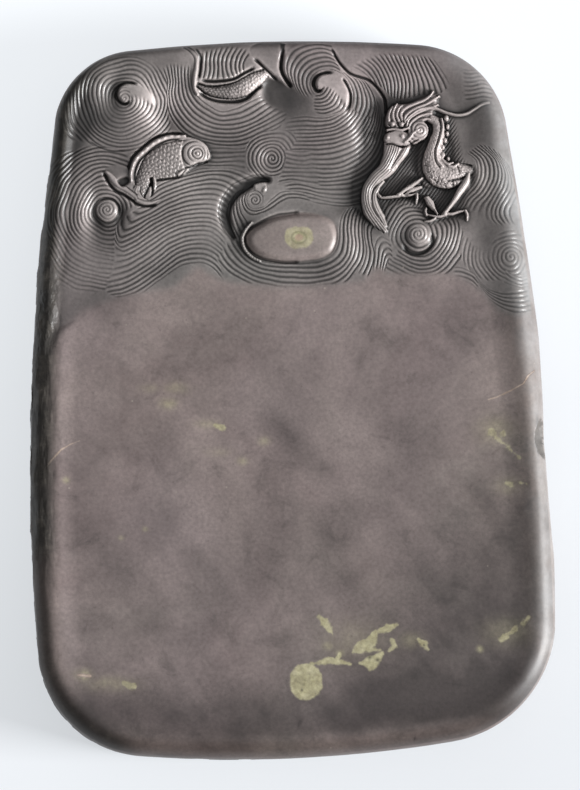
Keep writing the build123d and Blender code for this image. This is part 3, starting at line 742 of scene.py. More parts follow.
# The crest of the back: beads and small crescents
for x, y, size in (
    (446, 118, 3.2), (447.5, 126, 2.6), (447, 133, 2.6), (445, 140, 2.8), (443, 147, 2.8), (443, 155, 3.6),
    (448.5, 158.5, 2.2),
):
    dome(x, y, size * 0.7, size * 0.95, -0.75, 0.8)
for points in ([(443, 161), (448, 164), (454, 162.5)], [(448, 166), (454, 166.5), (459, 163)]):
    ridge(points, [0.8, 1.5, 0.8], -0.35, 0.7)
# Hip and belly under the turn of the body
cut([(471, 176), (461, 178.5), (451, 180.5), (444, 181)], 1.3, 0.9)
cut([(456, 162), (459, 170), (458, 178)], 0.8, 0.4)


def limb(points, widths, top=-0.5):
    """A leg or a toe of the dragon, lined along its length."""
    ridge(points, [0.88 * width for width in widths], top, 1.2, strands(1.7, 0.25), crown=0.6)


# Legs and claws
limb([(469, 173), (466, 182), (461, 190), (455, 199), (449, 207), (445, 213)],
     [1.5, 4.4, 4.2, 3.0, 2.2, 2.4])
limb([(423, 177), (417, 181.5), (411, 186), (405, 190), (399, 195)], [0.6, 2.2, 2.5, 2.2, 2.0])
for points in (
    [(446, 213), (452, 213), (459, 211), (465, 210)], [(465, 209), (467, 214), (466.5, 220)],
    [(446, 214), (440, 216), (434, 215.5), (428, 214)], [(436, 217.5), (431, 220.5), (425, 221)],
    [(427, 215), (425.5, 211), (426.5, 207)], [(431, 205), (434.5, 209), (438, 214)],
    [(399, 195), (406, 195.5), (412, 195), (417, 193)], [(417, 193), (417, 198), (415.5, 203)],
    [(399, 196), (393, 196.5), (387, 197), (381, 197.5)], [(381, 197), (377.5, 193), (379.5, 188.5)],
):
    limb(points, [1.5, 1.5, 1.3, 0.7], -0.6)
dome(399, 195, 2.6, 2.2, -0.5, 1.0)
dome(445, 213.5, 2.6, 2.4, -0.5, 1.0)
ridge([(426, 196), (430, 202), (434, 209)], [2.2, 3.6, 1.6], -0.9, 0.9, hairs(3, 0.2))
ridge([(404, 196), (412, 190), (422, 186)], [1.0, 2.4, 1.2], -1.4, 0.6, hairs(3, 0.2))

# Beard, in hairs that sweep down to the left and back to the right
beard = [(396, 146), (392, 158), (386, 169), (376, 178), (369, 188), (368, 200), (371.5, 211), (378, 221),
         (386, 231)]
ridge(beard, [12.5, 9.5, 7.6, 6.6, 6.0, 6.6, 7.6, 6.8, 2.6],
      [-0.6, -0.35, -0.3, -0.3, -0.35, -0.5, -0.75, -1.1, -1.5], 1.4, strands(2.3, 0.55), crown=0.5)
ridge([(384, 181), (378, 188), (374.5, 196), (376, 206), (381, 216), (386, 226)],
      [1.2, 1.8, 2.6, 3.4, 3.2, 1.2], [-0.9, -0.7, -0.7, -0.9, -1.2, -1.6], 0.5, strands(2.1, 0.4))
ridge([(408, 142), (404, 152), (397, 162), (391, 170)], [3.0, 3.8, 2.6, 1.2], -0.8, 1.1, strands(2.0, 0.4))
cut([(379, 183), (373.5, 190), (371.5, 199), (373.5, 209), (379, 219)], 0.9, 0.35)

# Ground of the mane
relief.lay(within([(387, 127), (388, 112), (396, 104), (410, 103), (428, 96), (436, 95), (436, 106),
                   (430, 118), (416, 122), (406, 130)], 1.2), -1.0 * np.ones(MAP_SHAPE),
           ripple((0.35 * (MAP_X - 390) + 0.94 * (MAP_Y - 100)) / 2.6) * 0.25)
# Mane and horns: long strands swept back, short ones at the brow
for points, widths, top in (
    ([(392, 127), (389, 120), (389.5, 113), (393, 106)], [1.6, 2.0, 1.7, 0.6], -0.55),
    ([(396, 125), (393, 117), (394, 110), (397.5, 103)], [1.6, 2.0, 1.6, 0.6], -0.4),
    ([(400, 123), (397, 116), (399, 109), (403, 105)], [1.6, 1.9, 1.5, 0.6], -0.35),
    ([(403, 122), (401, 114), (406, 108), (414, 104.5), (423, 101), (430, 96), (433.5, 91)],
     [1.8, 2.2, 2.0, 1.9, 1.8, 1.5, 0.7], -0.3),
    ([(405, 124), (405, 117), (411, 111), (420, 107), (429, 103), (435, 99), (439.5, 96)],
     [1.6, 1.9, 1.9, 1.8, 1.7, 1.4, 0.7], -0.2),
    ([(407, 126), (409, 119), (416, 113.5), (424, 110), (432, 107.5), (438, 105)],
     [1.6, 1.9, 1.9, 1.7, 1.4, 0.6], -0.25),
    ([(409, 130), (411, 123), (417, 117.5), (425, 114), (432, 113)], [1.6, 2.0, 1.9, 1.6, 0.7], -0.35),
    ([(411, 136), (412, 128), (418, 122), (426, 118.5), (431, 119)], [1.8, 2.4, 2.4, 1.9, 0.8], -0.45),
):
    ridge(points, widths, top, 1.2, hairs(2, 0.16), crown=0.6)
# Jaw, rolled into a spiral
smooth_patch([(408, 140), (408, 130), (414, 122), (422, 120), (428, 126), (427, 136), (420, 141),
              (412, 144)], mound(418, 131, -0.3, 0.006))
wind([(408, 140), (408, 130), (414, 122), (422, 121), (427, 127), (426, 136), (420, 141), (412, 144)], 0.5,
     (420, 130), 3.6, turn=-1, slide=0.1, depth=0.4)
# Brow, cheek, nose and mouth
smooth_patch([(384, 141), (385, 134), (391, 131), (400, 130), (408, 133), (409, 141), (402, 146),
              (392, 145)], mound(397, 138, -0.55, 0.003, 2))
ridge([(386, 130), (394, 128.5), (402, 129.5), (409, 128)], [1.0, 1.8, 1.8, 1.0], -0.3, 0.9)
for x, y, wide, high in (
    (392.5, 124, 2.7, 2.5), (401.5, 124, 2.7, 2.6), (387.3, 137, 2.3, 2.3), (402.5, 136.3, 2.7, 2.7),
):
    dome(x, y, wide, high, -0.08, 1.0)
for x in (392.5, 401.5):
    relief.form = relief.form - 0.45 * ring(x, 124, 3.3, 0.7)
cut([(384, 144), (391, 143.5), (397, 145.5), (405, 146.5), (413, 142), (420, 139)], 0.9, 1.0, ends=(2, 4))
cut([(388, 128), (393, 127.5), (399, 128), (404, 127.5)], 0.8, 0.7, ends=(2, 2))
ridge([(404, 143), (410, 138), (414, 133), (419, 130)], [0.8, 1.2, 1.2, 0.8], -0.1, 0.5)

# Whisker, from the brow to the edge of the stone
ridge([(405, 121), (411, 115), (419, 110), (428, 108), (437, 109), (446, 112.5), (456, 114.5), (466, 113.8),
       (474, 109.5), (481, 105), (489, 103)], [1.0, 1.3, 1.4, 1.4, 1.4, 1.3, 1.2, 1.2, 1.1, 1.0, 0.6],
      [-0.2, -0.1, -0.1, -0.15, -0.3, -0.5, -0.7, -0.8, -0.8, -0.8, -0.9], 0.9)

# Where the carving ends and the grinding field begins
ZONE = [(10, 20), (570, 20), (570, 300), (545, 308), (530, 313), (515, 317), (499, 311), (479, 289),
        (456, 275), (443, 273.5), (393, 273.5), (387, 274), (379, 266), (364, 281), (334, 285), (290, 287),
        (231, 283), (215, 278), (198, 266), (186, 276), (174, 288), (152, 291), (118, 297), (81, 311),
        (61, 330), (48, 352), (38, 368), (10, 372)]
zone = within(ZONE, 0, closed_curve=False)
relief.form = FIELD_HEIGHT + (blur(relief.form, 0.3) - FIELD_HEIGHT) * blur(zone, 5.0)
relief.groove = relief.groove * blur(zone, 1.4)
for x, y, spread, gone in WORN:
    relief.groove = relief.groove * (1 - gone * bell(MAP_X - x, MAP_Y - y, spread, spread))

# How far each cell stands over its surroundings, near and wide: 0 in the bottom of a groove, 1 on a ridge
AROUND = ((1.0, 1.3), (0.16, 5.0), (0.16, 14.0))
carved = relief.form + relief.groove
cavity = np.clip(0.5 + sum(share * (carved - blur(carved, reach)) for share, reach in AROUND), 0, 1)
ZONE_SOFT = blur(zone, 3.0) * (1 - 0.85 * DISC_SOFT)

# Camera axes: right, up in the picture, and forward
RIGHT = np.array([1.0, 0.0, 0.0])
FORWARD = np.array([0.0, np.sin(VIEW_TILT), -np.cos(VIEW_TILT)])
UP = np.array([0.0, np.cos(VIEW_TILT), np.sin(VIEW_TILT)])
EYE = AIM - FORWARD * VIEW_DISTANCE
PIXELS_PER_SLOPE = VIEW_DISTANCE / MM_PER_PIXEL


def pixel_of(x, y, z):
    """The photograph's pixel of a place in millimetres."""
    ahead = (y - EYE[1]) * FORWARD[1] + (z - EYE[2]) * FORWARD[2]
    rise = (y - EYE[1]) * UP[1] + (z - EYE[2]) * UP[2]
    scale = PIXELS_PER_SLOPE
    return MIDDLE_PIXEL[0] + x / ahead * scale, MIDDLE_PIXEL[1] - rise / ahead * scale


def at(px, py):
    """The place in millimetres at a pixel of the photograph, on the level of the field."""
    ray = FORWARD + RIGHT * (px - MIDDLE_PIXEL[0]) / PIXELS_PER_SLOPE
    ray = ray - UP * (py - MIDDLE_PIXEL[1]) / PIXELS_PER_SLOPE
    return EYE + ray * (THICKNESS + FIELD_HEIGHT - EYE[2]) / ray[2]


# Outline of the block: four bowed sides and four rounded corners, as circles
corners = [np.array([x * HALF_WIDTH, y * HALF_LENGTH]) for x, y in CORNERS]
side_circles = []
for side, bow in enumerate(BOWS):
    a, b = corners[side], corners[(side + 1) % 4]
    chord = b - a
    half = np.hypot(*chord) / 2
    outward = np.array([-chord[1], chord[0]]) / (2 * half)
    radius = (half**2 + bow**2) / (2 * bow)
    side_circles.append(((a + b) / 2 - outward * (radius - bow), radius))
corner_circles = []
for k, radius in enumerate(CORNER_RADII):
    (c1, r1), (c2, r2) = side_circles[k - 1], side_circles[k]
    between = c2 - c1
    apart = np.hypot(*between)
    along = ((r1 - radius) ** 2 - (r2 - radius) ** 2 + apart**2) / (2 * apart)
    aside = np.sqrt((r1 - radius) ** 2 - along**2)
    normal = np.array([-between[1], between[0]]) / apart
    spots = [c1 + between / apart * along + normal * aside * sign for sign in (1, -1)]
    corner_circles.append((min(spots, key=lambda spot: np.hypot(*(spot - corners[k]))), radius))


def wrapped(angle):
    """The same angle, from half a turn back to half a turn on."""
    return (angle + np.pi) % (2 * np.pi) - np.pi


def heading(centre, point):
    """Angle of a point about a centre."""
    return np.arctan2(point[1] - centre[1], point[0] - centre[0])


def arc_points(circle, start, end, share, inset):
    """Points on a circle, drawn in by an inset, at shares of the way from start to end."""
    angle = start + wrapped(end - start) * share
    return np.stack([circle[0][0] + (circle[1] - inset) * np.cos(angle),
                     circle[0][1] + (circle[1] - inset) * np.sin(angle)], 1)


def edge_line(side, share, inset):
    """Points along one side, from the middle of one corner to the middle of the next."""
    here, there = corner_circles[side], corner_circles[(side + 1) % 4]
    own, before, after = side_circles[side], side_circles[side - 1], side_circles[(side + 1) % 4]
    from_side = heading(before[0], here[0])
    to_side = heading(own[0], here[0])
    turn = wrapped(to_side - from_side)
    far_side = heading(own[0], there[0])
    far_turn = wrapped(heading(after[0], there[0]) - far_side)
    own_turn = wrapped(far_side - to_side)
    lengths = np.array([abs(turn) / 2 * here[1], abs(own_turn) * own[1], abs(far_turn) / 2 * there[1]])
    ends = np.cumsum(lengths) / lengths.sum()
    first = share < ends[0]
    last = share > ends[1]
    points = arc_points(own, to_side, far_side, (share - ends[0]) / (ends[1] - ends[0]), inset)
    points[first] = arc_points(here, from_side + turn / 2, to_side, share[first] / ends[0], inset)
    points[last] = arc_points(
        there, far_side, far_side + far_turn / 2, (share[last] - ends[1]) / (1 - ends[1]), inset
    )
    return points


# How far the hand-ground right and left sides stand outside the plain outline: place along it, amount
SWERVE_ENDS = 0.1
SWERVES = {
    1: [(-110, 0.0), (-92, 0.0), (-80, 0.2), (-58, 0.6), (-50, 0.6), (-44, 0.2), (-33, -0.2), (-14, -0.3),
        (-10, -0.1), (2, 0.5), (20, 1.1), (45, 0.6), (80, 0.1), (110, 0.1)],
    3: [(-110, 0.1), (-80, 0.0), (-40, 0.2), (0, 0.2), (40, 0.4), (80, 0.3), (110, 0.1)],
}


def swerve(side, y):
    """How far one side's outline stands outside the plain one; the two ends stand out evenly."""
    return np.interp(y, *zip(*SWERVES.get(side, [(0, SWERVE_ENDS)])))


def edge_distance(x, y):
    """How far in from the outline each place is."""
    away = np.min([r - np.hypot(x - c[0], y - c[1]) for c, r in side_circles], axis=0)
    for k, (centre, radius) in enumerate(corner_circles):
        start = heading(side_circles[k - 1][0], centre)
        end = heading(side_circles[k][0], centre)
        half = wrapped(start - end) / 2
        off = wrapped(np.arctan2(y - centre[1], x - centre[0]) - end - half)
        away = np.where(np.abs(off) < abs(half), radius - np.hypot(x - centre[0], y - centre[1]), away)
    return away


# Noise repeats after so many lumps, and each finer layer of it is moved on
DICE = 256
LAYER_SHIFT = (37, -19)


def lattice(x, y, size, seed):
    """Even noise from 0 to 1 whose lumps are about so many millimetres across."""
    dice = np.random.default_rng(seed).random((DICE, DICE))
    u, v = x / size, y / size
    c, r = np.floor(u).astype(int), np.floor(v).astype(int)
    u, v = smooth(u - c), smooth(v - r)
    c0, c1, r0, r1 = c % DICE, (c + 1) % DICE, r % DICE, (r + 1) % DICE
    near = dice[r0, c0] * (1 - u) + dice[r0, c1] * u
    far = dice[r1, c0] * (1 - u) + dice[r1, c1] * u
    return near * (1 - v) + far * v


def clouds(x, y, size, seed, octaves=4):
    """Noise with finer lumps on coarser ones, from about 0 to 1."""
    right, up = LAYER_SHIFT
    parts = [lattice(x + right * k, y + up * k, size / 2**k, seed + k) / 2**k for k in range(octaves)]
    return sum(parts) / (2 - 2.0 ** (1 - octaves))


def terraces(noise, count, slope, power=1):
    """Noise turned into so many steps, each with a little rise of its own."""
    return np.floor(noise * count) / count + slope * (noise * count % 1) ** power / count


# Radius of the rounded upper edge, how much tighter it is at the head and rounder at the left and the heel
EDGE_RADIUS, HEAD_TIGHTER, LEFT_ROUNDER, HEEL_ROUNDER = 6.4, 3.0, 1.2, 1.2
# Height below the top at which the photograph's pixels are read off for the carving
CARVING_DEPTH = 1.2
# Waver of hand-cut lines in pixels
LINE_WAVER = 1.5
# The rim's bank: its width round the carving, how much wider it is in the field and at the head's right,
# and where it starts, as a share of the shoulder
RIM_WIDTH, FIELD_RIM_MORE, RIGHT_RIM_MORE, RIM_START_SHARE = 4.5, 6.5, 7.0, 0.55
# The field is ground a little hollow: its depth, where its middle lies, and its half width and length
DISH_DEPTH, DISH_MIDDLE, DISH_HALF_WIDTH, DISH_HALF_LENGTH = 0.7, -34.0, 78.0, 84.0
# Unevenness of the ground field, and depth of the flakes in the rock's own skin
UNEVEN, FLAKE_DEPTH = 0.10, 1.3


def shoulder_of(x, y):
    """Radius of the rounded upper edge."""
    return (
        EDGE_RADIUS - HEAD_TIGHTER * fade(y, 78, 30) + LEFT_ROUNDER * fade(x, -50, -25) * fade(y, 88, -30)
        + HEEL_ROUNDER * fade(y, -80, -30)
    )


def shoulder_drop(away, radius):
    """How far the rounded edge has fallen at a distance in from the outline."""
    gap = np.clip(radius - away, 0, radius)
    return radius - np.sqrt(np.maximum(radius**2 - gap**2, 0))


def surface(x, y):
    """Height of the top in millimetres, and what its look needs to know there."""
    px, py = pixel_of(x, y, THICKNESS - CARVING_DEPTH)
    away = edge_distance(x, y)
    radius = shoulder_of(x, y)
    px = px + LINE_WAVER * (clouds(x, y, 5, 101, 2) - 0.5)
    py = py + LINE_WAVER * (clouds(x, y, 5, 131, 2) - 0.5)
    column, row = (px - MAP_LEFT) * CELLS, (py - MAP_TOP) * CELLS
    in_map = py < MAP_BOTTOM - 1
    form = np.where(in_map, lookup(relief.form, column, row), FIELD_HEIGHT)
    groove = np.where(in_map, lookup(relief.groove, column, row), 0)
    groove = groove * (0.72 + 0.56 * clouds(x, y, 9, 151, 3))
    hollow = np.where(in_map, lookup(cavity, column, row), 0.5)
    worked = np.where(in_map, lookup(ZONE_SOFT, column, row), 0)
    # Rim: in the field it is a low rounded bank, round the carving it is narrow
    bank = RIM_WIDTH + FIELD_RIM_MORE * (1 - worked) + RIGHT_RIM_MORE * worked * fade(x, 35, 20)
    inner = fade(away, radius * RIM_START_SHARE, bank)
    height = -shoulder_drop(away, radius) + form * inner + groove * fade(away, 1.2, 2.8)
    dish = smooth(1.25 - np.hypot(x / DISH_HALF_WIDTH, (y - DISH_MIDDLE) / DISH_HALF_LENGTH))
    height = height - DISH_DEPTH * dish * (1 - worked) * inner
    height = height + UNEVEN * (clouds(x, y, 30, 3) - 0.5) * (1 - worked)
    # Natural skin on the left side, with flakes that broke away in layers; its dark colour along the left
    # shoulder is also painted shade
    skin_and_shade = fade(away, 11, -6) * fade(x, -60, -8) * fade(y, 62, -30) * fade(y, -72, 30)
    flakes = clouds(x * 2.2, y * 0.8, 7, 21, 5)
    height = height - skin_and_shade * FLAKE_DEPTH * (0.75 - terraces(flakes, 9, 0.25, 3))
    # Painted shade: a ragged band of dark rock colour along the left shoulder's edge, weaker towards the heel
    ragged = away - 3 * (flakes - 0.5)
    left_edge_shade = fade(ragged, 6.8, -3) * fade(x, -45, -14) * fade(y, 112, -16)
    left_edge_shade = left_edge_shade * (0.55 + 0.45 * fade(y, -60, 30))
    return THICKNESS + height, hollow, worked, np.maximum(skin_and_shade, left_edge_shade), away


# Darker and paler parts of the ground and the carving and a few scratches, in pixels: place, spread, lean,
# amount. Many are painted light: painted shade where the field's dish, the heel's front and the carving's
# left-facing slopes and hollows turn from the light, painted highlight where slopes face it; the rest are
# stains, scratches and random tone
TONES_AND_PAINTED_LIGHT = [
    (490, 640, 95, 120, 0.2, -0.52), (395, 704, 140, 24, -0.08, -0.34), (200, 718, 130, 18, 0.0, -0.36),
    (520, 480, 22, 150, 0.0, -0.16), (300, 746, 240, 5, 0.0, -0.12), (300, 640, 160, 70, 0.1, -0.10),
    (75, 712, 40, 34, -0.7, -0.28), (278, 424, 9, 34, -0.75, -0.22), (300, 452, 10, 26, -0.7, -0.14),
    (236, 345, 14, 60, -0.9, -0.10), (110, 350, 60, 34, 0.0, 0.12), (170, 400, 60, 70, 0.3, 0.06),
    (450, 330, 50, 40, 0.0, -0.12), (330, 560, 60, 40, 0.5, -0.07), (250, 620, 90, 40, 0.2, -0.06),
    (100, 600, 50, 80, 0.0, -0.08), (420, 455, 20, 30, 0.4, -0.08), (360, 390, 50, 22, -0.3, 0.05),
    (330, 300, 60, 9, 0.0, 0.05), (470, 560, 40, 60, 0.3, -0.10), (75, 122, 14, 40, 0.0, -0.72),
    (390, 733, 70, 5, -0.12, 0.2), (299, 724, 0.8, 2.0, 0.6, -0.4), (412, 737, 0.7, 1.6, 0.2, -0.4),
    (536.4, 427, 0.9, 8, 0.0, -0.7), (534.6, 444, 0.9, 7, 0.0, -0.7), (378, 700, 40, 18, 0.0, -0.08),
    (154, 105, 12, 19, -0.3, 2.0), (430, 160, 30, 45, 0.0, 0.22), (186, 104, 16, 18, 0.0, 0.35),
    (330, 155, 26, 20, 0.0, -0.16), (66, 160, 6, 45, 0.0, -0.35), (56, 530, 6, 60, 0.0, 0.22),
    (300, 729, 60, 5, 0.0, -0.12), (512, 200, 7, 50, 0.0, -0.3), (84, 180, 8, 16, 0.3, 0.3),
    (262, 80, 8, 8, 0.4, 0.6), (288, 96, 12, 13, 0.0, -0.3), (80, 118, 8, 22, 0.0, -0.5),
    (180, 155, 22, 14, 0.0, 0.12), (240, 215, 9, 20, -0.3, -0.25), (165, 57, 34, 7, 0.0, -0.3),
    (110, 300, 50, 9, 0.0, -0.12), (197, 74, 16, 18, 0.0, 0.35), (425, 150, 40, 55, 0.0, 0.25),
    (338, 94, 10, 14, 0.0, 0.45), (345, 240, 14, 24, 0.0, 0.25), (245, 78, 16, 10, 0.4, 0.6),
    (86, 208, 6, 18, 0.0, 0.45), (175, 155, 30, 22, 0.4, 0.3), (284, 98, 16, 12, 0.5, -0.35),
    (376, 150, 9, 50, 0.1, -0.35), (150, 240, 40, 30, -0.4, 0.12), (58, 200, 7, 80, 0.1, -0.4),
]
# Faint olive stains, most of them near the eyes, in pixels: place, spread, amount
STAINS = [
    (168, 403, 6, 4, 0.40), (242, 461, 4, 2.5, 0.35), (84, 675, 6, 4, 0.40), (264, 441, 4, 3, 0.3),
    (206, 424, 9, 3, 0.25), (176, 388, 8, 4, 0.25), (328, 646, 4, 3, 0.4), (340, 653, 4, 3, 0.4),
    (480, 649, 2.2, 2.0, 0.6), (150, 388, 7, 3, 0.2), (121, 538, 2, 1.5, 0.4), (145, 529, 2, 1.5, 0.4),
    (66, 480, 2.5, 2, 0.5), (410, 640, 9, 5, 0.2), (355, 640, 22, 14, 0.16), (495, 430, 12, 9, 0.25),
    (508, 632, 16, 9, 0.2), (110, 684, 16, 5, 0.25), (508, 486, 8, 6, 0.2), (218, 452, 8, 3, 0.15),
]
# How many pixels the edges of the tones stray
TONE_STRAY = 14


def stains_and_painted_light(x, y):
    """Broad tone, with painted shade and painted highlight in it, and olive tinge of the ground."""
    px, py = pixel_of(x, y, THICKNESS + FIELD_HEIGHT)
    stray_x = px + TONE_STRAY * (clouds(x, y, 16, 301, 3) - 0.5)
    stray_y = py + TONE_STRAY * (clouds(x, y, 16, 331, 3) - 0.5)
    tone_and_painted_light, olive = np.zeros(x.shape), np.zeros(x.shape)
    for sx, sy, wide, high, lean, amount in TONES_AND_PAINTED_LIGHT:
        tone_and_painted_light = tone_and_painted_light + amount * bell(*turned(stray_x - sx, stray_y - sy, lean), wide, high)
    for sx, sy, wide, high, amount in STAINS:
        olive = np.maximum(olive, amount * bell(px - sx, py - sy, wide, high))
    # Cloudy parts, some of them drawn out along the stone's grain
    along, across = 0.6 * x - 0.8 * y, 0.8 * x + 0.6 * y
    grain = clouds(along * 0.3, across * 1.3, 8, 371, 4)
    tone_and_painted_light = tone_and_painted_light + 0.6 * (clouds(x, y, 14, 361, 6) - 0.5) + 0.3 * (grain - 0.5)
    return tone_and_painted_light, olive * (0.5 + clouds(x, y, 2.5, 351, 3))


def spaced(*runs):
    """Shares from 0 to 1: each run's end and how many steps it has."""
    start, parts = 0.0, []
    for end, count in runs:
        parts.append(np.linspace(start, end, count if FINE else count // 2, endpoint=False))
        start = end
    return np.append(np.concatenate(parts), 1.0)


# The top's grid, closer set where it is carved, from a line just inside the outline
u = spaced((0.10, 60), (0.46, 330), (0.64, 130), (0.88, 280), (1.0, 80))
v = spaced((0.05, 36), (0.27, 310), (0.43, 150), (1.0, 190))
# How far in from the outline the grid ends, and the inset that the middle of the underside is given
RING_START, MIDDLE_INSET = 0.9, 50.0
head, right = edge_line(0, u, RING_START), edge_line(1, v, RING_START)
heel, left = edge_line(2, 1 - u, RING_START), edge_line(3, 1 - v, RING_START)
uu, vv = u[None, :, None], v[:, None, None]
grid = (
    (1 - vv) * head[None] + vv * heel[None] + (1 - uu) * left[:, None] + uu * right[:, None]
    - (1 - uu) * (1 - vv) * head[0] - uu * (1 - vv) * head[-1] - (1 - uu) * vv * heel[0] - uu * vv * heel[-1]
)
gx, gy = grid[..., 0].ravel(), grid[..., 1].ravel()
gz, hollow, worked, skin_and_shade, away = surface(gx, gy)
rows, cols = len(v), len(u)
tone_and_painted_light, olive = stains_and_painted_light(gx, gy)

# Rings of the edge, wall and foot, which go on from the rim of the grid
loop = np.concatenate([
    np.arange(cols - 1), np.arange(rows - 1) * cols + cols - 1,
    (rows - 1) * cols + np.arange(cols - 1, 0, -1), np.arange(rows - 1, 0, -1) * cols,
])
loop_sides = [(0, u[:-1]), (1, v[:-1]), (2, 1 - u[:0:-1]), (3, 1 - v[:0:-1])]


def ring_points(inset):
    """The outline drawn in by an inset."""
    return np.vstack([edge_line(side, share, inset) for side, share in loop_sides])


base_loop = ring_points(0.0)
loop_shoulder = shoulder_of(base_loop[:, 0], base_loop[:, 1])
girth = np.concatenate([[0], np.cumsum(np.hypot(*np.diff(base_loop, axis=0).T))])
# The wall's rings, the insets of those on the flat underside, and how rocky a patch of the walls can be
WALL_RINGS = 30 if FINE else 14
UNDERSIDE_INSETS = (9, 18, 34, 52)
PATCH_SHARE = 0.65
shares = [("edge", s) for s in (0.66, 0.42, 0.2, 0.06)]
shares += [("wall", s) for s in np.linspace(0, 1, WALL_RINGS)]
shares += [("foot", s) for s in (0.25, 0.5, 0.75, 1.0)]
ring_xyz, ring_data = [], []
inward = ring_points(1.0) - base_loop
stray = np.concatenate([
    swerve(side, edge_line(side, share, 0.0)[:, 1]) * np.sin(np.pi * share) ** 0.3
    for side, share in loop_sides
])
# The left wall and parts of the others keep the skin of the rock; its dark colour on the left wall is also
# painted shade
left_skin_and_shade = fade(base_loop[:, 0], -55, -20) * fade(base_loop[:, 1], 100, -30)
for kind, share in shares:
    if kind == "edge":
        inset = np.full(len(loop), RING_START * share)
        height = THICKNESS - shoulder_drop(inset, loop_shoulder)
    elif kind == "wall":
        inset = np.zeros(len(loop))
        height = (THICKNESS - loop_shoulder) * (1 - share) + FOOT * share
    else:
        angle = share * np.pi / 2
        inset = np.full(len(loop), FOOT * (1 - np.cos(angle)))
        height = np.full(len(loop), FOOT * (1 - np.sin(angle)))
    blend = {"edge": 1 - share, "wall": 1, "foot": 1 - share}[kind]
    lumps = clouds(girth, height * 1.6 + 50, 9, 41, 5)
    broken = terraces(lumps, 7, 0.4)
    patches = fade(clouds(girth, height * 1.5 + 20, 22, 61, 4), 0.5, 0.12) * fade(height, 20, -8)
    rock = np.maximum(left_skin_and_shade, PATCH_SHARE * patches)
    bite = (0.15 + 1.5 * rock) * (0.72 - broken) * blend + 0.2 * clouds(girth, height + 90, 30, 55, 3) * blend
    inset = inset + np.clip(bite, 0.02, None) * (kind != "foot" or share < 1) - stray * blend
    point = base_loop + inward * inset[:, None]
    ring_xyz.append(np.column_stack([point, height]))
    ring_data.append((0.35 + 0.5 * broken, rock * blend))
for inset in UNDERSIDE_INSETS:
    ring_xyz.append(np.column_stack([ring_points(inset), np.zeros(len(loop))]))
    ring_data.append((np.full(len(loop), 0.6), np.zeros(len(loop))))
ring_count = len(ring_xyz)
points = np.vstack([np.column_stack([gx, gy, gz]), *ring_xyz, [[0, 0, 0]]])

# The knock in the right side, next to the grinding field
KNOCK = np.array([85.2, -13.0, 28.0])
KNOCK_SIZE = np.array([7.4, 8.6, 7.0])
off = (points - KNOCK) / KNOCK_SIZE
wild = 0.80 + 0.36 * clouds(points[:, 1], points[:, 2] + 40, 4, 71, 4)
inside = np.hypot(np.hypot(off[:, 0], off[:, 1]), off[:, 2]) < wild
bottom = KNOCK[0] - np.sqrt(np.maximum(wild**2 - off[:, 1] ** 2 - off[:, 2] ** 2, 0)) * KNOCK_SIZE[0]
broken_off = inside & (points[:, 0] > bottom)
points[:, 0] = np.where(broken_off, bottom, points[:, 0])
# Nothing stands outside the plain block
points = np.clip(points, 1000 * np.array(cad_box[0]), 1000 * np.array(cad_box[1]))

grid_index = np.arange(rows * cols).reshape(rows, cols)
top_faces = np.stack(
    [grid_index[:-1, :-1], grid_index[1:, :-1], grid_index[1:, 1:], grid_index[:-1, 1:]], -1
).reshape(-1, 4)
loops = np.vstack([loop, *(rows * cols + k * len(loop) + np.arange(len(loop)) for k in range(ring_count))])
nexts = np.roll(loops, -1, axis=1)
wall_faces = np.stack([loops[:-1], nexts[:-1], nexts[1:], loops[1:]], -1).reshape(-1, 4)
centre = len(points) - 1
fan = np.stack([loops[-1], nexts[-1], np.full(len(loop), centre)], -1)

mesh = bpy.data.meshes.new("carved_block")
flat = np.concatenate([top_faces.ravel(), wall_faces.ravel(), fan.ravel()]).astype(np.int32)
totals = np.repeat([4, 3], [len(top_faces) + len(wall_faces), len(fan)]).astype(np.int32)
starts = np.concatenate([[0], np.cumsum(totals)[:-1]]).astype(np.int32)
mesh.vertices.add(len(points))
mesh.vertices.foreach_set("co", (points / 1000).astype(np.float32).ravel())
mesh.loops.add(len(flat))
mesh.loops.foreach_set("vertex_index", flat)
mesh.polygons.add(len(totals))
mesh.polygons.foreach_set("loop_start", starts)
mesh.polygons.foreach_set("use_smooth", np.ones(len(totals), bool))
mesh.update(calc_edges=True)
assert not mesh.validate()


def store(mesh, name, values):
    """Keeps a number for each vertex, for the material to read."""
    attribute = mesh.attributes.new(name, "FLOAT", "POINT")
    attribute.data.foreach_set("value", np.asarray(values, np.float32))


ring_hollow = np.concatenate([data[0] for data in ring_data])
ring_skin_and_shade = np.concatenate([data[1] for data in ring_data])
store(mesh, "hollow", np.concatenate([hollow, ring_hollow, [0.6]]))
store(mesh, "worked", np.concatenate([worked, np.zeros(len(ring_hollow) + 1)]))
store(mesh, "skin_and_shade", np.concatenate([skin_and_shade, ring_skin_and_shade, [0]]))
store(mesh, "edge", np.concatenate([away, np.zeros(len(ring_hollow)), [MIDDLE_INSET]]))
store(mesh, "broken", broken_off.astype(float))
rest = np.zeros(len(ring_hollow) + 1)
store(mesh, "tone_and_painted_light", np.concatenate([tone_and_painted_light, rest]))
store(mesh, "olive", np.concatenate([olive, rest]))
store(mesh, "band", np.ones(len(points)))
# Painted reflection: where the right shoulder, which faces the light, shows pale
SHEEN_WIDTH = 7.5
inset = np.concatenate([
    away, *[np.full(len(loop), RING_START * share if kind == "edge" else 0.0) for kind, share in shares],
    np.full(len(points) - len(away) - len(shares) * len(loop), float(UNDERSIDE_INSETS[0])),
])
x, y, z = points.T
sheen_band = fade(inset - 3 * clouds(x, y, 9, 381, 3), SHEEN_WIDTH, -SHEEN_WIDTH)
lit = fade(x + 0.12 * y, 52, 26) * fade(y, -112, 20)
store(mesh, "pale", sheen_band * lit * fade(z, 0, 14))
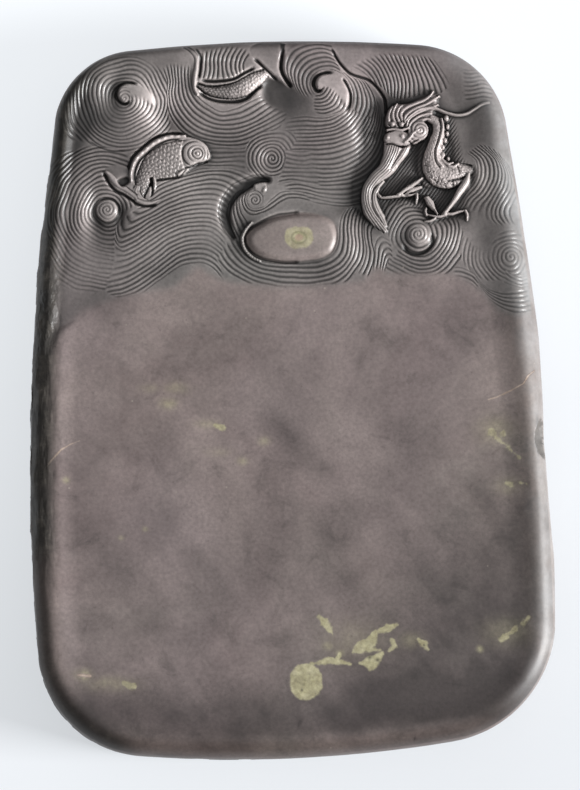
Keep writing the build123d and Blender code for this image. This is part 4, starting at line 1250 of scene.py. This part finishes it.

# One flat map: the top as it lies, the wall and the foot unrolled beside it
TOP_LEFT, TOP_SPAN, WALL_LEFT, WALL_SPAN = 0.01, 0.70, 0.73, 0.22
FAN_LEFT, FAN_RIGHT, FLAT_LOW, FLAT_SPAN = 0.955, 0.985, 0.02, 0.96
uv_point = np.zeros((len(points), 2))
uv_point[: rows * cols] = np.column_stack([
    (gx + HALF_WIDTH) / (2 * HALF_WIDTH) * TOP_SPAN + TOP_LEFT,
    (gy + HALF_LENGTH) / (2 * HALF_LENGTH) * FLAT_SPAN + FLAT_LOW,
])
uv = mesh.uv_layers.new(name="OFBake")
loop_uv = uv_point[flat]
wall_start = len(top_faces) * 4
ring_of = np.arange(ring_count + 1) / ring_count
around = np.arange(len(loop) + 1) / len(loop)
k, r = np.meshgrid(np.arange(len(loop)), np.arange(ring_count))
wall_uv = np.stack([
    np.stack([WALL_LEFT + WALL_SPAN * ring_of[r + down], FLAT_LOW + FLAT_SPAN * around[k + on]], -1)
    for down, on in ((0, 0), (0, 1), (1, 1), (1, 0))
], -2).reshape(-1, 2)
loop_uv[wall_start:wall_start + len(wall_uv)] = wall_uv
k = np.arange(len(loop))
fan_corners = ((FAN_LEFT, around[k]), (FAN_LEFT, around[k + 1]), (FAN_RIGHT, (around[k] + around[k + 1]) / 2))
fan_uv = np.stack([
    np.stack([np.full(len(k), side), FLAT_LOW + FLAT_SPAN * spot], -1) for side, spot in fan_corners
], -2).reshape(-1, 2)
loop_uv[wall_start + len(wall_uv):] = fan_uv
uv.data.foreach_set("uv", loop_uv.astype(np.float32).ravel())

block = bpy.data.objects.new("carved_block", mesh)
bpy.context.scene.collection.objects.link(block)


# The stone's finest grain, as bumps: how strong, and how high in metres
BUMP_STRENGTH, BUMP_HEIGHT = 0.22, 0.0003


class Nodes:
    """A material's node tree, with short calls to add to it."""

    def __init__(self, name):
        self.material = bpy.data.materials.new(name)
        self.material.use_nodes = True
        self.tree = self.material.node_tree
        self.shader = self.tree.nodes["Principled BSDF"]
        self.where = self.add("ShaderNodeTexCoord").outputs["Object"]

    def add(self, kind, **settings):
        """A new node with the given settings."""
        node = self.tree.nodes.new(kind)
        for key, value in settings.items():
            setattr(node, key, value)
        return node

    def put(self, value, socket):
        """Links an output to a socket, or sets the socket's value."""
        if isinstance(value, bpy.types.NodeSocket):
            self.tree.links.new(value, socket)
        else:
            socket.default_value = value

    def kept(self, name):
        """A number that store() kept in the mesh."""
        return self.add("ShaderNodeAttribute", attribute_name=name).outputs["Fac"]

    def noise(self, scale, detail, rough, warp=0.0):
        """Soft lumps, so many to the metre."""
        node = self.add("ShaderNodeTexNoise")
        self.put(self.where, node.inputs["Vector"])
        node.inputs["Scale"].default_value = scale
        node.inputs["Detail"].default_value = detail
        node.inputs["Roughness"].default_value = rough
        node.inputs["Distortion"].default_value = warp
        return node.outputs["Fac"]

    def cells(self, scale):
        """Distance from the nearest of scattered points, so many to the metre."""
        node = self.add("ShaderNodeTexVoronoi")
        self.put(self.where, node.inputs["Vector"])
        node.inputs["Scale"].default_value = scale
        return node.outputs["Distance"]

    def ramp(self, value, *stops):
        """A value turned into colours or greys at given stops."""
        node = self.add("ShaderNodeValToRGB")
        ramp = node.color_ramp
        while len(ramp.elements) < len(stops):
            ramp.elements.new(0.5)
        for element, (spot, colour) in zip(ramp.elements, stops):
            element.position = spot
            element.color = (*colour, 1) if np.ndim(colour) else (colour, colour, colour, 1)
        self.put(value, node.inputs["Fac"])
        return node.outputs["Color"]

    def math(self, kind, a, b):
        """A number worked out from two others."""
        node = self.add("ShaderNodeMath", operation=kind)
        self.put(a, node.inputs[0])
        self.put(b, node.inputs[1])
        return node.outputs[0]

    def mix(self, share, a, b, blend="MIX"):
        """Colour a with a share of colour b."""
        node = self.add("ShaderNodeMix", data_type="RGBA", blend_type=blend)
        self.put(share, node.inputs["Factor"])
        for value, socket in ((a, node.inputs[6]), (b, node.inputs[7])):
            self.put((*value, 1) if isinstance(value, tuple) else value, socket)
        return node.outputs[2]

    def finish(self, colour, rough, bump=None):
        """Gives the shader its colour, its roughness and fine bumps."""
        self.put((*colour, 1) if isinstance(colour, tuple) else colour, self.shader.inputs["Base Color"])
        self.put(rough, self.shader.inputs["Roughness"])
        if bump is not None:
            node = self.add("ShaderNodeBump")
            node.inputs["Strength"].default_value = BUMP_STRENGTH
            node.inputs["Distance"].default_value = BUMP_HEIGHT
            self.put(bump, node.inputs["Height"])
            self.put(node.outputs["Normal"], self.shader.inputs["Normal"])
        return self.material


def linear(red, green, blue):
    """A colour of the screen, 0 to 255, as the renderer's light."""
    shares = (part / 255 for part in (red, green, blue))
    return tuple(part / 12.92 if part <= 0.04045 else ((part + 0.055) / 1.055) ** 2.4 for part in shares)


def stone_material(name, pale=False):
    """The stone, with the minerals in it where the olive attribute says."""
    m = Nodes(name)
    worked, hollow, skin_and_shade, broken = m.kept("worked"), m.kept("hollow"), m.kept("skin_and_shade"), m.kept("broken")
    edge = m.kept("edge")
    # Ground colour: purple-brown stone with cloudy paler and darker parts
    cloud = m.noise(16, 6, 0.62, 0.5)
    patch = m.noise(6, 3, 0.5, 0.6)
    ground = m.ramp(cloud, (0.28, linear(104, 91, 89)), (0.46, linear(122, 110, 107)),
                    (0.58, linear(133, 121, 117)), (0.74, linear(150, 140, 134)))
    ground = m.mix(m.ramp(patch, (0.42, 0.0), (0.62, 0.55)), ground, linear(119, 107, 109))
    # Small smudges of old ink
    smudge = m.ramp(m.noise(75, 5, 0.7, 0.8), (0.30, 0.58), (0.44, 0.95), (0.60, 1.03), (0.76, 1.16))
    ground = m.mix(0.75, ground, smudge, "MULTIPLY")
    # The low bank round the field is browner and darker
    bank_share = m.math("MULTIPLY", m.ramp(m.math("MULTIPLY", edge, 0.05), (0.18, 1.0), (0.52, 0.0)), 0.75)
    ground = m.mix(bank_share, ground, m.mix(1.0, ground, linear(206, 203, 194), "MULTIPLY"))
    # Broad tones, partly painted shade and painted highlight
    shade = m.math("MAXIMUM", m.math("ADD", m.kept("tone_and_painted_light"), 1.0), 0.25)
    ground = m.mix(1.0, ground, shade, "MULTIPLY")
    # Carved ground: greyer, with ink left in the grooves and the ridges rubbed pale
    tint = m.ramp(patch, (0.40, linear(126, 122, 119)), (0.60, linear(131, 121, 120)))
    relief_tone = m.ramp(hollow, (0.08, 0.05), (0.34, 0.24), (0.48, 0.60), (0.60, 1.04), (0.78, 1.5))
    carved_colour = m.mix(1.0, m.mix(1.0, tint, relief_tone, "MULTIPLY"), shade, "MULTIPLY")
    colour = m.mix(worked, ground, carved_colour)
    # Minerals
    if pale:
        mineral = m.ramp(m.noise(300, 4, 0.6), (0.35, linear(150, 130, 112)), (0.65, linear(190, 172, 158)))
    else:
        mineral = m.ramp(m.noise(300, 5, 0.65, 0.4), (0.30, linear(138, 131, 98)),
                         (0.50, linear(168, 162, 128)), (0.70, linear(192, 186, 152)))
    # An eye's bands, from its core out: pinkish, plain, green
    band = m.kept("band")
    mineral = m.mix(m.ramp(band, (0.26, 0.85), (0.34, 0.0)), mineral, linear(166, 142, 122))
    green = m.ramp(band, (0.40, 0.0), (0.50, 0.75), (0.56, 0.75), (0.66, 0.0))
    mineral = m.mix(green, mineral, linear(128, 128, 88))
    colour = m.mix(m.kept("olive"), colour, mineral)
    # Fine grain and specks
    grain = m.noise(900, 2, 0.6)
    colour = m.mix(0.25, colour, m.ramp(grain, (0.3, 0.25), (0.7, 0.85)), "OVERLAY")
    specks = m.ramp(m.cells(330), (0.0, 1.0), (0.12, 0.0))
    colour = m.mix(m.math("MULTIPLY", specks, 0.4), colour, linear(58, 50, 48))
    flecks = m.ramp(m.cells(95), (0.0, 1.0), (0.045, 0.0))
    colour = m.mix(m.math("MULTIPLY", flecks, 0.5), colour, linear(186, 176, 164))
    # Painted reflection: the right shoulder that faces the light is coloured pale bluish white
    sheen_colour = m.ramp(m.noise(120, 5, 0.65), (0.35, linear(150, 148, 147)), (0.65, linear(196, 198, 200)))
    colour = m.mix(m.math("MULTIPLY", m.kept("pale"), 0.3), colour, sheen_colour)
    # The skin of the rock on the left, dark there also as painted shade of the left side, and the fresh break
    # on the right
    rock = m.ramp(m.noise(160, 6, 0.7), (0.3, linear(24, 22, 19)), (0.5, linear(48, 45, 40)),
                  (0.66, linear(84, 79, 72)), (0.8, linear(134, 128, 118)))
    colour = m.mix(m.math("MULTIPLY", skin_and_shade, 0.9), colour, rock)
    colour = m.mix(m.math("MULTIPLY", broken, 0.7), colour, rock)
    gloss = m.ramp(hollow, (0.35, 0.52), (0.60, 0.30))
    plain = m.math("ADD", m.math("MULTIPLY", m.noise(60, 4, 0.6), 0.24), 0.32)
    rough = m.mix(worked, plain, gloss)
    bump = m.math("ADD", m.math("MULTIPLY", grain, 0.25), m.math("MULTIPLY", m.noise(220, 4, 0.6), 0.5))
    return m.finish(colour, rough, bump)


stone = stone_material("purple_stone")
olive_stone = stone_material("olive_eye")
pale_stone = stone_material("pale_vein", pale=True)
mesh.materials.append(stone)
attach(block, "root")
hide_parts("slab")


# How a mineral lies and looks where its entry says nothing else: its material and slot, the centre and
# two radii of a banded eye, the share of it that its ring leaves open, how ragged and how soft its edge
# is in pixels, and how strong its colour is
PLAIN = {
    "material": olive_stone, "slot": "olive_mineral", "eye": None, "hole": 0.0,
    "rough": 1.6, "soft": 2.6, "share": 1.0,
}
VEIN = {"rough": 0.5, "soft": 1.3, "material": pale_stone, "slot": "pale_core"}
POOL_EYE = (299, 237.8, 13.9, 10.9)
CORE_SHARE = 0.36
# Pixels of stone round a mineral that its piece takes in, the piece's depth and grid, and how far it
# stands over the block, which differs from neighbour to neighbour, in millimetres
EYE_MARGIN, VEIN_MARGIN = 3.2, 1.2
INLAY_DEPTH, INLAY_GRID = 0.7, 0.2 if FINE else 0.4
LIFT, LIFT_STEP, LIFTS = 0.012, 0.007, 3
# Corners of a piece sharper than this many radians stay sharp
SHARP = 0.9
# Dark spots in the minerals, in pixels: place and size
DARK_SPOTS = ((369.8, 657.3, 1.5), (377.6, 660, 1.2), (424, 645, 0.7), (302, 690, 0.8))


def depth_within(px, py, strokes):
    """How many pixels deep places lie in round-ended strokes."""
    inside = np.full(px.shape, -np.inf)
    for ax, ay, ar, bx, by, br in strokes:
        run = np.array([bx - ax, by - ay])
        t = np.clip(((px - ax) * run[0] + (py - ay) * run[1]) / max(run @ run, 1e-6), 0, 1)
        off = np.hypot(px - ax - t * run[0], py - ay - t * run[1])
        inside = np.maximum(inside, ar + (br - ar) * t - off)
    return inside


def inlay(name, node, strokes, look, lift):
    """A mineral that lies flush in the stone, with a ragged edge. Strokes are in pixels, from a point
    and radius to another."""
    margin = EYE_MARGIN if node else VEIN_MARGIN
    ends = np.array([(a, b, r) for stroke in strokes for a, b, r in (stroke[:3], stroke[3:])], float)
    low = (ends[:, :2] - ends[:, 2:] - margin).min(0)
    high = (ends[:, :2] + ends[:, 2:] + margin).max(0)
    west, north = at(*low)[:2]
    east, south = at(*high)[:2]
    gx, gy = np.meshgrid(np.arange(west, east + INLAY_GRID, INLAY_GRID),
                         np.arange(south, north + INLAY_GRID, INLAY_GRID))
    px, py = pixel_of(gx, gy, THICKNESS + FIELD_HEIGHT)
    kept = depth_within(px, py, strokes) > -margin
    band = np.ones(gx.shape)
    if look["eye"]:
        middle_x, middle_y, wide, high = look["eye"]
        band = np.hypot((px - middle_x) / wide, (py - middle_y) / high)
        kept &= (band >= look["hole"]) if look["hole"] else (band < CORE_SHARE)
    cell = kept[:-1, :-1] & kept[1:, :-1] & kept[1:, 1:] & kept[:-1, 1:]
    index = np.arange(gx.size).reshape(gx.shape)
    quads = np.stack([index[:-1, :-1], index[:-1, 1:], index[1:, 1:], index[1:, :-1]], -1)[cell]
    used, quads = np.unique(quads, return_inverse=True)
    quads = quads.reshape(-1, 4)
    x, y = gx.ravel()[used], gy.ravel()[used]
    z, hollow, worked, skin_and_shade, away = surface(x, y)
    px, py = px.ravel()[used], py.ravel()[used]
    z = z + lift
    for sx, sy, size in DARK_SPOTS:
        skin_and_shade = np.maximum(skin_and_shade, 0.9 * bell(px - sx, py - sy, size, size))
    edges = np.stack([quads, np.roll(quads, -1, axis=1)], -1).reshape(-1, 2)
    keys, back = edges[:, 0] * len(used) + edges[:, 1], edges[:, 1] * len(used) + edges[:, 0]
    border = edges[~np.isin(keys, back)]
    sides = np.stack([border[:, 1], border[:, 0], border[:, 0] + len(used), border[:, 1] + len(used)], -1)
    faces = np.vstack([quads, quads[:, ::-1] + len(used), sides])
    verts = np.vstack([np.column_stack([x, y, z]), np.column_stack([x, y, z - INLAY_DEPTH])])
    piece_mesh = bpy.data.meshes.new(name)
    piece_mesh.from_pydata((verts / 1000).tolist(), [], faces.tolist())
    piece_mesh.update()
    ragged = 2.6 * (clouds(x, y, 1.3, 401, 4) - 0.5)
    olive = np.zeros(len(x))
    for _, _, marks, more in INLAYS:
        other = PLAIN | more
        inside = depth_within(px, py, marks) + other["rough"] * ragged
        olive = np.maximum(olive, other["share"] * smooth(inside / other["soft"] + 0.5))
    olive = olive * (0.66 + 0.4 * clouds(x, y, 1.1, 411, 3))
    tone_and_painted_light, stain = stains_and_painted_light(x, y)
    data = {
        "hollow": hollow, "worked": worked, "skin_and_shade": skin_and_shade, "edge": away, "broken": 0 * x, "tone_and_painted_light": tone_and_painted_light,
        "olive": np.clip(np.maximum(olive, stain), 0, 1), "band": band.ravel()[used],
    }
    for key, values in data.items():
        store(piece_mesh, key, np.concatenate([values, values]))
    smoothed = np.repeat([True, True, False], [len(quads), len(quads), len(sides)])
    piece_mesh.polygons.foreach_set("use_smooth", smoothed)
    piece_mesh.set_sharp_from_angle(angle=SHARP)
    piece_mesh.materials.append(look["material"])
    piece = bpy.data.objects.new(name, piece_mesh)
    bpy.context.scene.collection.objects.link(piece)
    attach(piece, "root")
    if node:
        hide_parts(node)


# Each mineral: the piece's name, the CAD node that it replaces, its strokes, and what differs from PLAIN
INLAYS = (
    ("pool_eye_ring_face", "pool_eye_ring", [(295.5, 237.8, 10.9, 302.5, 237.8, 10.9)],
     {"eye": POOL_EYE, "hole": 0.28, "rough": 1.2, "share": 0.85}),
    ("pool_eye_core_face", "pool_eye_core", [(299, 237.8, 6, 299, 237.8, 6)],
     {"eye": POOL_EYE, "rough": 0.4, "slot": "pale_core"}),
    ("round_eye_face", "round_eye", [(306, 679.5, 16.2, 306.3, 683.5, 16.2)], {"rough": 1.0}),
    ("streak_face", "round_eye_streak", [(311, 664, 1.2, 330, 660.5, 3.0),
                                         (330, 660.5, 3.0, 351, 663.8, 0.9),
                                         (340, 652.7, 1.6, 337, 660, 2.0)], {}),
    ("leaf_face", "leaf_eye", [(318.8, 616, 1.2, 324.5, 622, 4.4), (324.5, 622, 4.4, 332.6, 634, 1.2)], {}),
    ("branch_face", "branch_eye", [(352.5, 652, 1.4, 360, 648, 5.0), (360, 648, 5.6, 371, 641.5, 6.0),
                                   (371, 641.5, 6.0, 376, 632.5, 2.6), (376.3, 632.3, 1.4, 388.3, 627.8, 3.8),
                                   (388.3, 627.8, 3.8, 397.5, 625, 1.0), (368, 649, 3.4, 379, 650, 1.4)], {}),
    ("blob_face", "blob_eye", [(360.5, 663, 1.2, 371.5, 663, 7.2), (371.5, 663, 7.2, 381.8, 654, 2.2)],
     {"rough": 1.2}),
    ("hook_face", "hook_eye", [(392, 640, 2.6, 394.5, 645.5, 2.2), (394.5, 645.5, 2.0, 389, 651, 0.9)],
     {"share": 0.9}),
    ("small_leaf_face", "small_leaf_eye", [(418.8, 639.7, 1.0, 424.3, 644.4, 3.6),
                                           (424.3, 644.4, 3.6, 428, 649, 0.8)], {}),
    ("edge_face_1", "edge_eye_1", [(501, 639.5, 3.0, 505.5, 636, 3.0)], {"share": 0.85}),
    ("edge_face_2", "edge_eye_2", [(509, 633.5, 1.4, 515, 629.5, 3.0)], {"share": 0.75}),
    ("edge_face_3", "edge_eye_3", [(522.5, 623.5, 2.4, 528, 617.5, 1.6)], {"share": 0.75}),
    ("upper_face", "upper_eye", [(491.5, 432, 4.0, 493, 433, 4.0), (503, 433.5, 2.4, 503.5, 435, 2.4),
                                 (496, 438, 1.2, 506, 445, 1.4), (508, 447, 1.6, 511.5, 450.5, 1.8),
                                 (514.5, 453, 0.9, 519, 457.5, 1.5)], {"share": 0.72, "rough": 2.2}),
    ("lower_face", "lower_eye", [(505.5, 483.5, 2.8, 511, 484.5, 3.2), (519, 482.5, 1.0, 526, 484, 1.0)],
     {"share": 0.68, "rough": 2.2}),
    ("upper_fleck_face", "upper_fleck", [(215.5, 425, 1.8, 222, 428, 3.2)], {}),
    ("heel_face", "heel_eye", [(124, 683, 2.6, 132, 686, 3.6)], {"share": 0.8}),
    ("ochre_vein", None, [(44.4, 469.4, 0.5, 52, 460, 0.7), (52, 460, 0.7, 61, 450, 0.6),
                          (61, 450, 0.6, 70, 444.5, 0.5), (70, 444.5, 0.5, 79.5, 440.7, 0.2)], VEIN),
    ("pale_vein", None, [(488, 399.6, 0.1, 497, 397, 0.5), (497, 397, 0.5, 512, 390, 0.5),
                         (512, 390, 0.5, 523, 384, 0.6), (523, 384, 0.6, 528, 376, 0.5),
                         (528, 376, 0.5, 534, 371, 0.3)], VEIN),
    ("heel_streak", None, [(78, 675, 0.8, 90, 676, 1.2)], VEIN),
)
for place, (name, node, strokes, more) in enumerate(INLAYS):
    inlay(name, node, strokes, PLAIN | more, LIFT + LIFT_STEP * (place % LIFTS))

# Floor: its half width in metres and the share of light that its paper throws back
FLOOR_REACH, PAPER_SHARE = 4.0, 0.36
# How bright the paper glows in the picture, a painted fall-off of the light across it: in the middle, per
# metre up and to the right, and its limits
GLOW, GLOW_UP, GLOW_RIGHT, GLOW_LEAST, GLOW_MOST = 0.645, 0.8, 0.7, 0.50, 0.84
floor_mesh = bpy.data.meshes.new("floor")
floor_corners = [(x * FLOOR_REACH, y * FLOOR_REACH, 0) for x, y in ((-1, -1), (1, -1), (1, 1), (-1, 1))]
floor_mesh.from_pydata(floor_corners, [], [(0, 1, 2, 3)])
floor = bpy.data.objects.new("floor", floor_mesh)
bpy.context.scene.collection.objects.link(floor)
# The paper shows pale to the camera, with the stone's shadow kept
paper = Nodes("paper")
paper.finish(tuple(PAPER_SHARE * c for c in linear(240, 243, 248)), 0.9)
paper.shader.inputs["Specular IOR Level"].default_value = 0.1
seen = paper.add("ShaderNodeLightPath")
paper.put((*linear(247, 251, 255), 1), paper.shader.inputs["Emission Color"])
rays = paper.math("MAXIMUM", seen.outputs["Is Camera Ray"], seen.outputs["Is Glossy Ray"])
rays = paper.math("MAXIMUM", rays, seen.outputs["Is Transmission Ray"])
spot = paper.add("ShaderNodeSeparateXYZ")
paper.put(paper.where, spot.inputs[0])
glow = paper.math("ADD", paper.math("MULTIPLY", spot.outputs["Y"], GLOW_UP), GLOW)
glow = paper.math("SUBTRACT", glow, paper.math("MULTIPLY", spot.outputs["X"], GLOW_RIGHT))
glow = paper.math("MINIMUM", paper.math("MAXIMUM", glow, GLOW_LEAST), GLOW_MOST)
paper.put(paper.math("MULTIPLY", rays, glow), paper.shader.inputs["Emission Strength"])
floor_mesh.materials.append(paper.material)


def lamp(name, place, aim, size, power):
    """A flat lamp that shines from a place to an aim, in metres and watts."""
    light = bpy.data.lights.new(name, "AREA")
    light.shape = "RECTANGLE"
    light.size, light.size_y = size
    light.energy = power
    item = bpy.data.objects.new(name, light)
    item.location = place
    item.rotation_euler = (Vector(aim) - Vector(place)).to_track_quat("-Z", "Y").to_euler()
    bpy.context.scene.collection.objects.link(item)


lamp("window", place=(1.32, -0.3, 0.56), aim=(0, 0, 0.02), size=(0.45, 0.8), power=44)
lamp("ceiling", place=(-0.1, 0.3, 1.9), aim=(0, 0, 0), size=(2.2, 2.2), power=9)

ROOM_COLOUR, ROOM_STRENGTH = (0.93, 0.96, 1.0, 1), 0.14
scene = bpy.context.scene
scene.world = bpy.data.worlds.new("room")
scene.world.use_nodes = True
room = scene.world.node_tree.nodes["Background"]
room.inputs["Color"].default_value = ROOM_COLOUR
room.inputs["Strength"].default_value = ROOM_STRENGTH
scene.view_settings.view_transform = "Standard"

# The camera: its sensor in millimetres, and how far it sees in metres
SENSOR, SIGHT = 36, 20
camera_data = bpy.data.cameras.new("camera")
camera = bpy.data.objects.new("camera", camera_data)
scene.collection.objects.link(camera)
camera_data.sensor_fit = "HORIZONTAL"
camera_data.sensor_width = SENSOR
camera_data.lens = SENSOR * VIEW_DISTANCE / (MM_PER_PIXEL * PIXELS[0])
camera_data.clip_end = SIGHT
offset = RIGHT * (PIXELS[0] / 2 - MIDDLE_PIXEL[0]) * MM_PER_PIXEL
offset = offset - UP * (PIXELS[1] / 2 - MIDDLE_PIXEL[1]) * MM_PER_PIXEL
matrix = Matrix.Identity(4)
for row in range(3):
    matrix[row][0], matrix[row][1], matrix[row][2] = RIGHT[row], UP[row], -FORWARD[row]
    matrix[row][3] = (EYE + offset)[row] / 1000
camera.matrix_world = matrix
scene.camera = camera
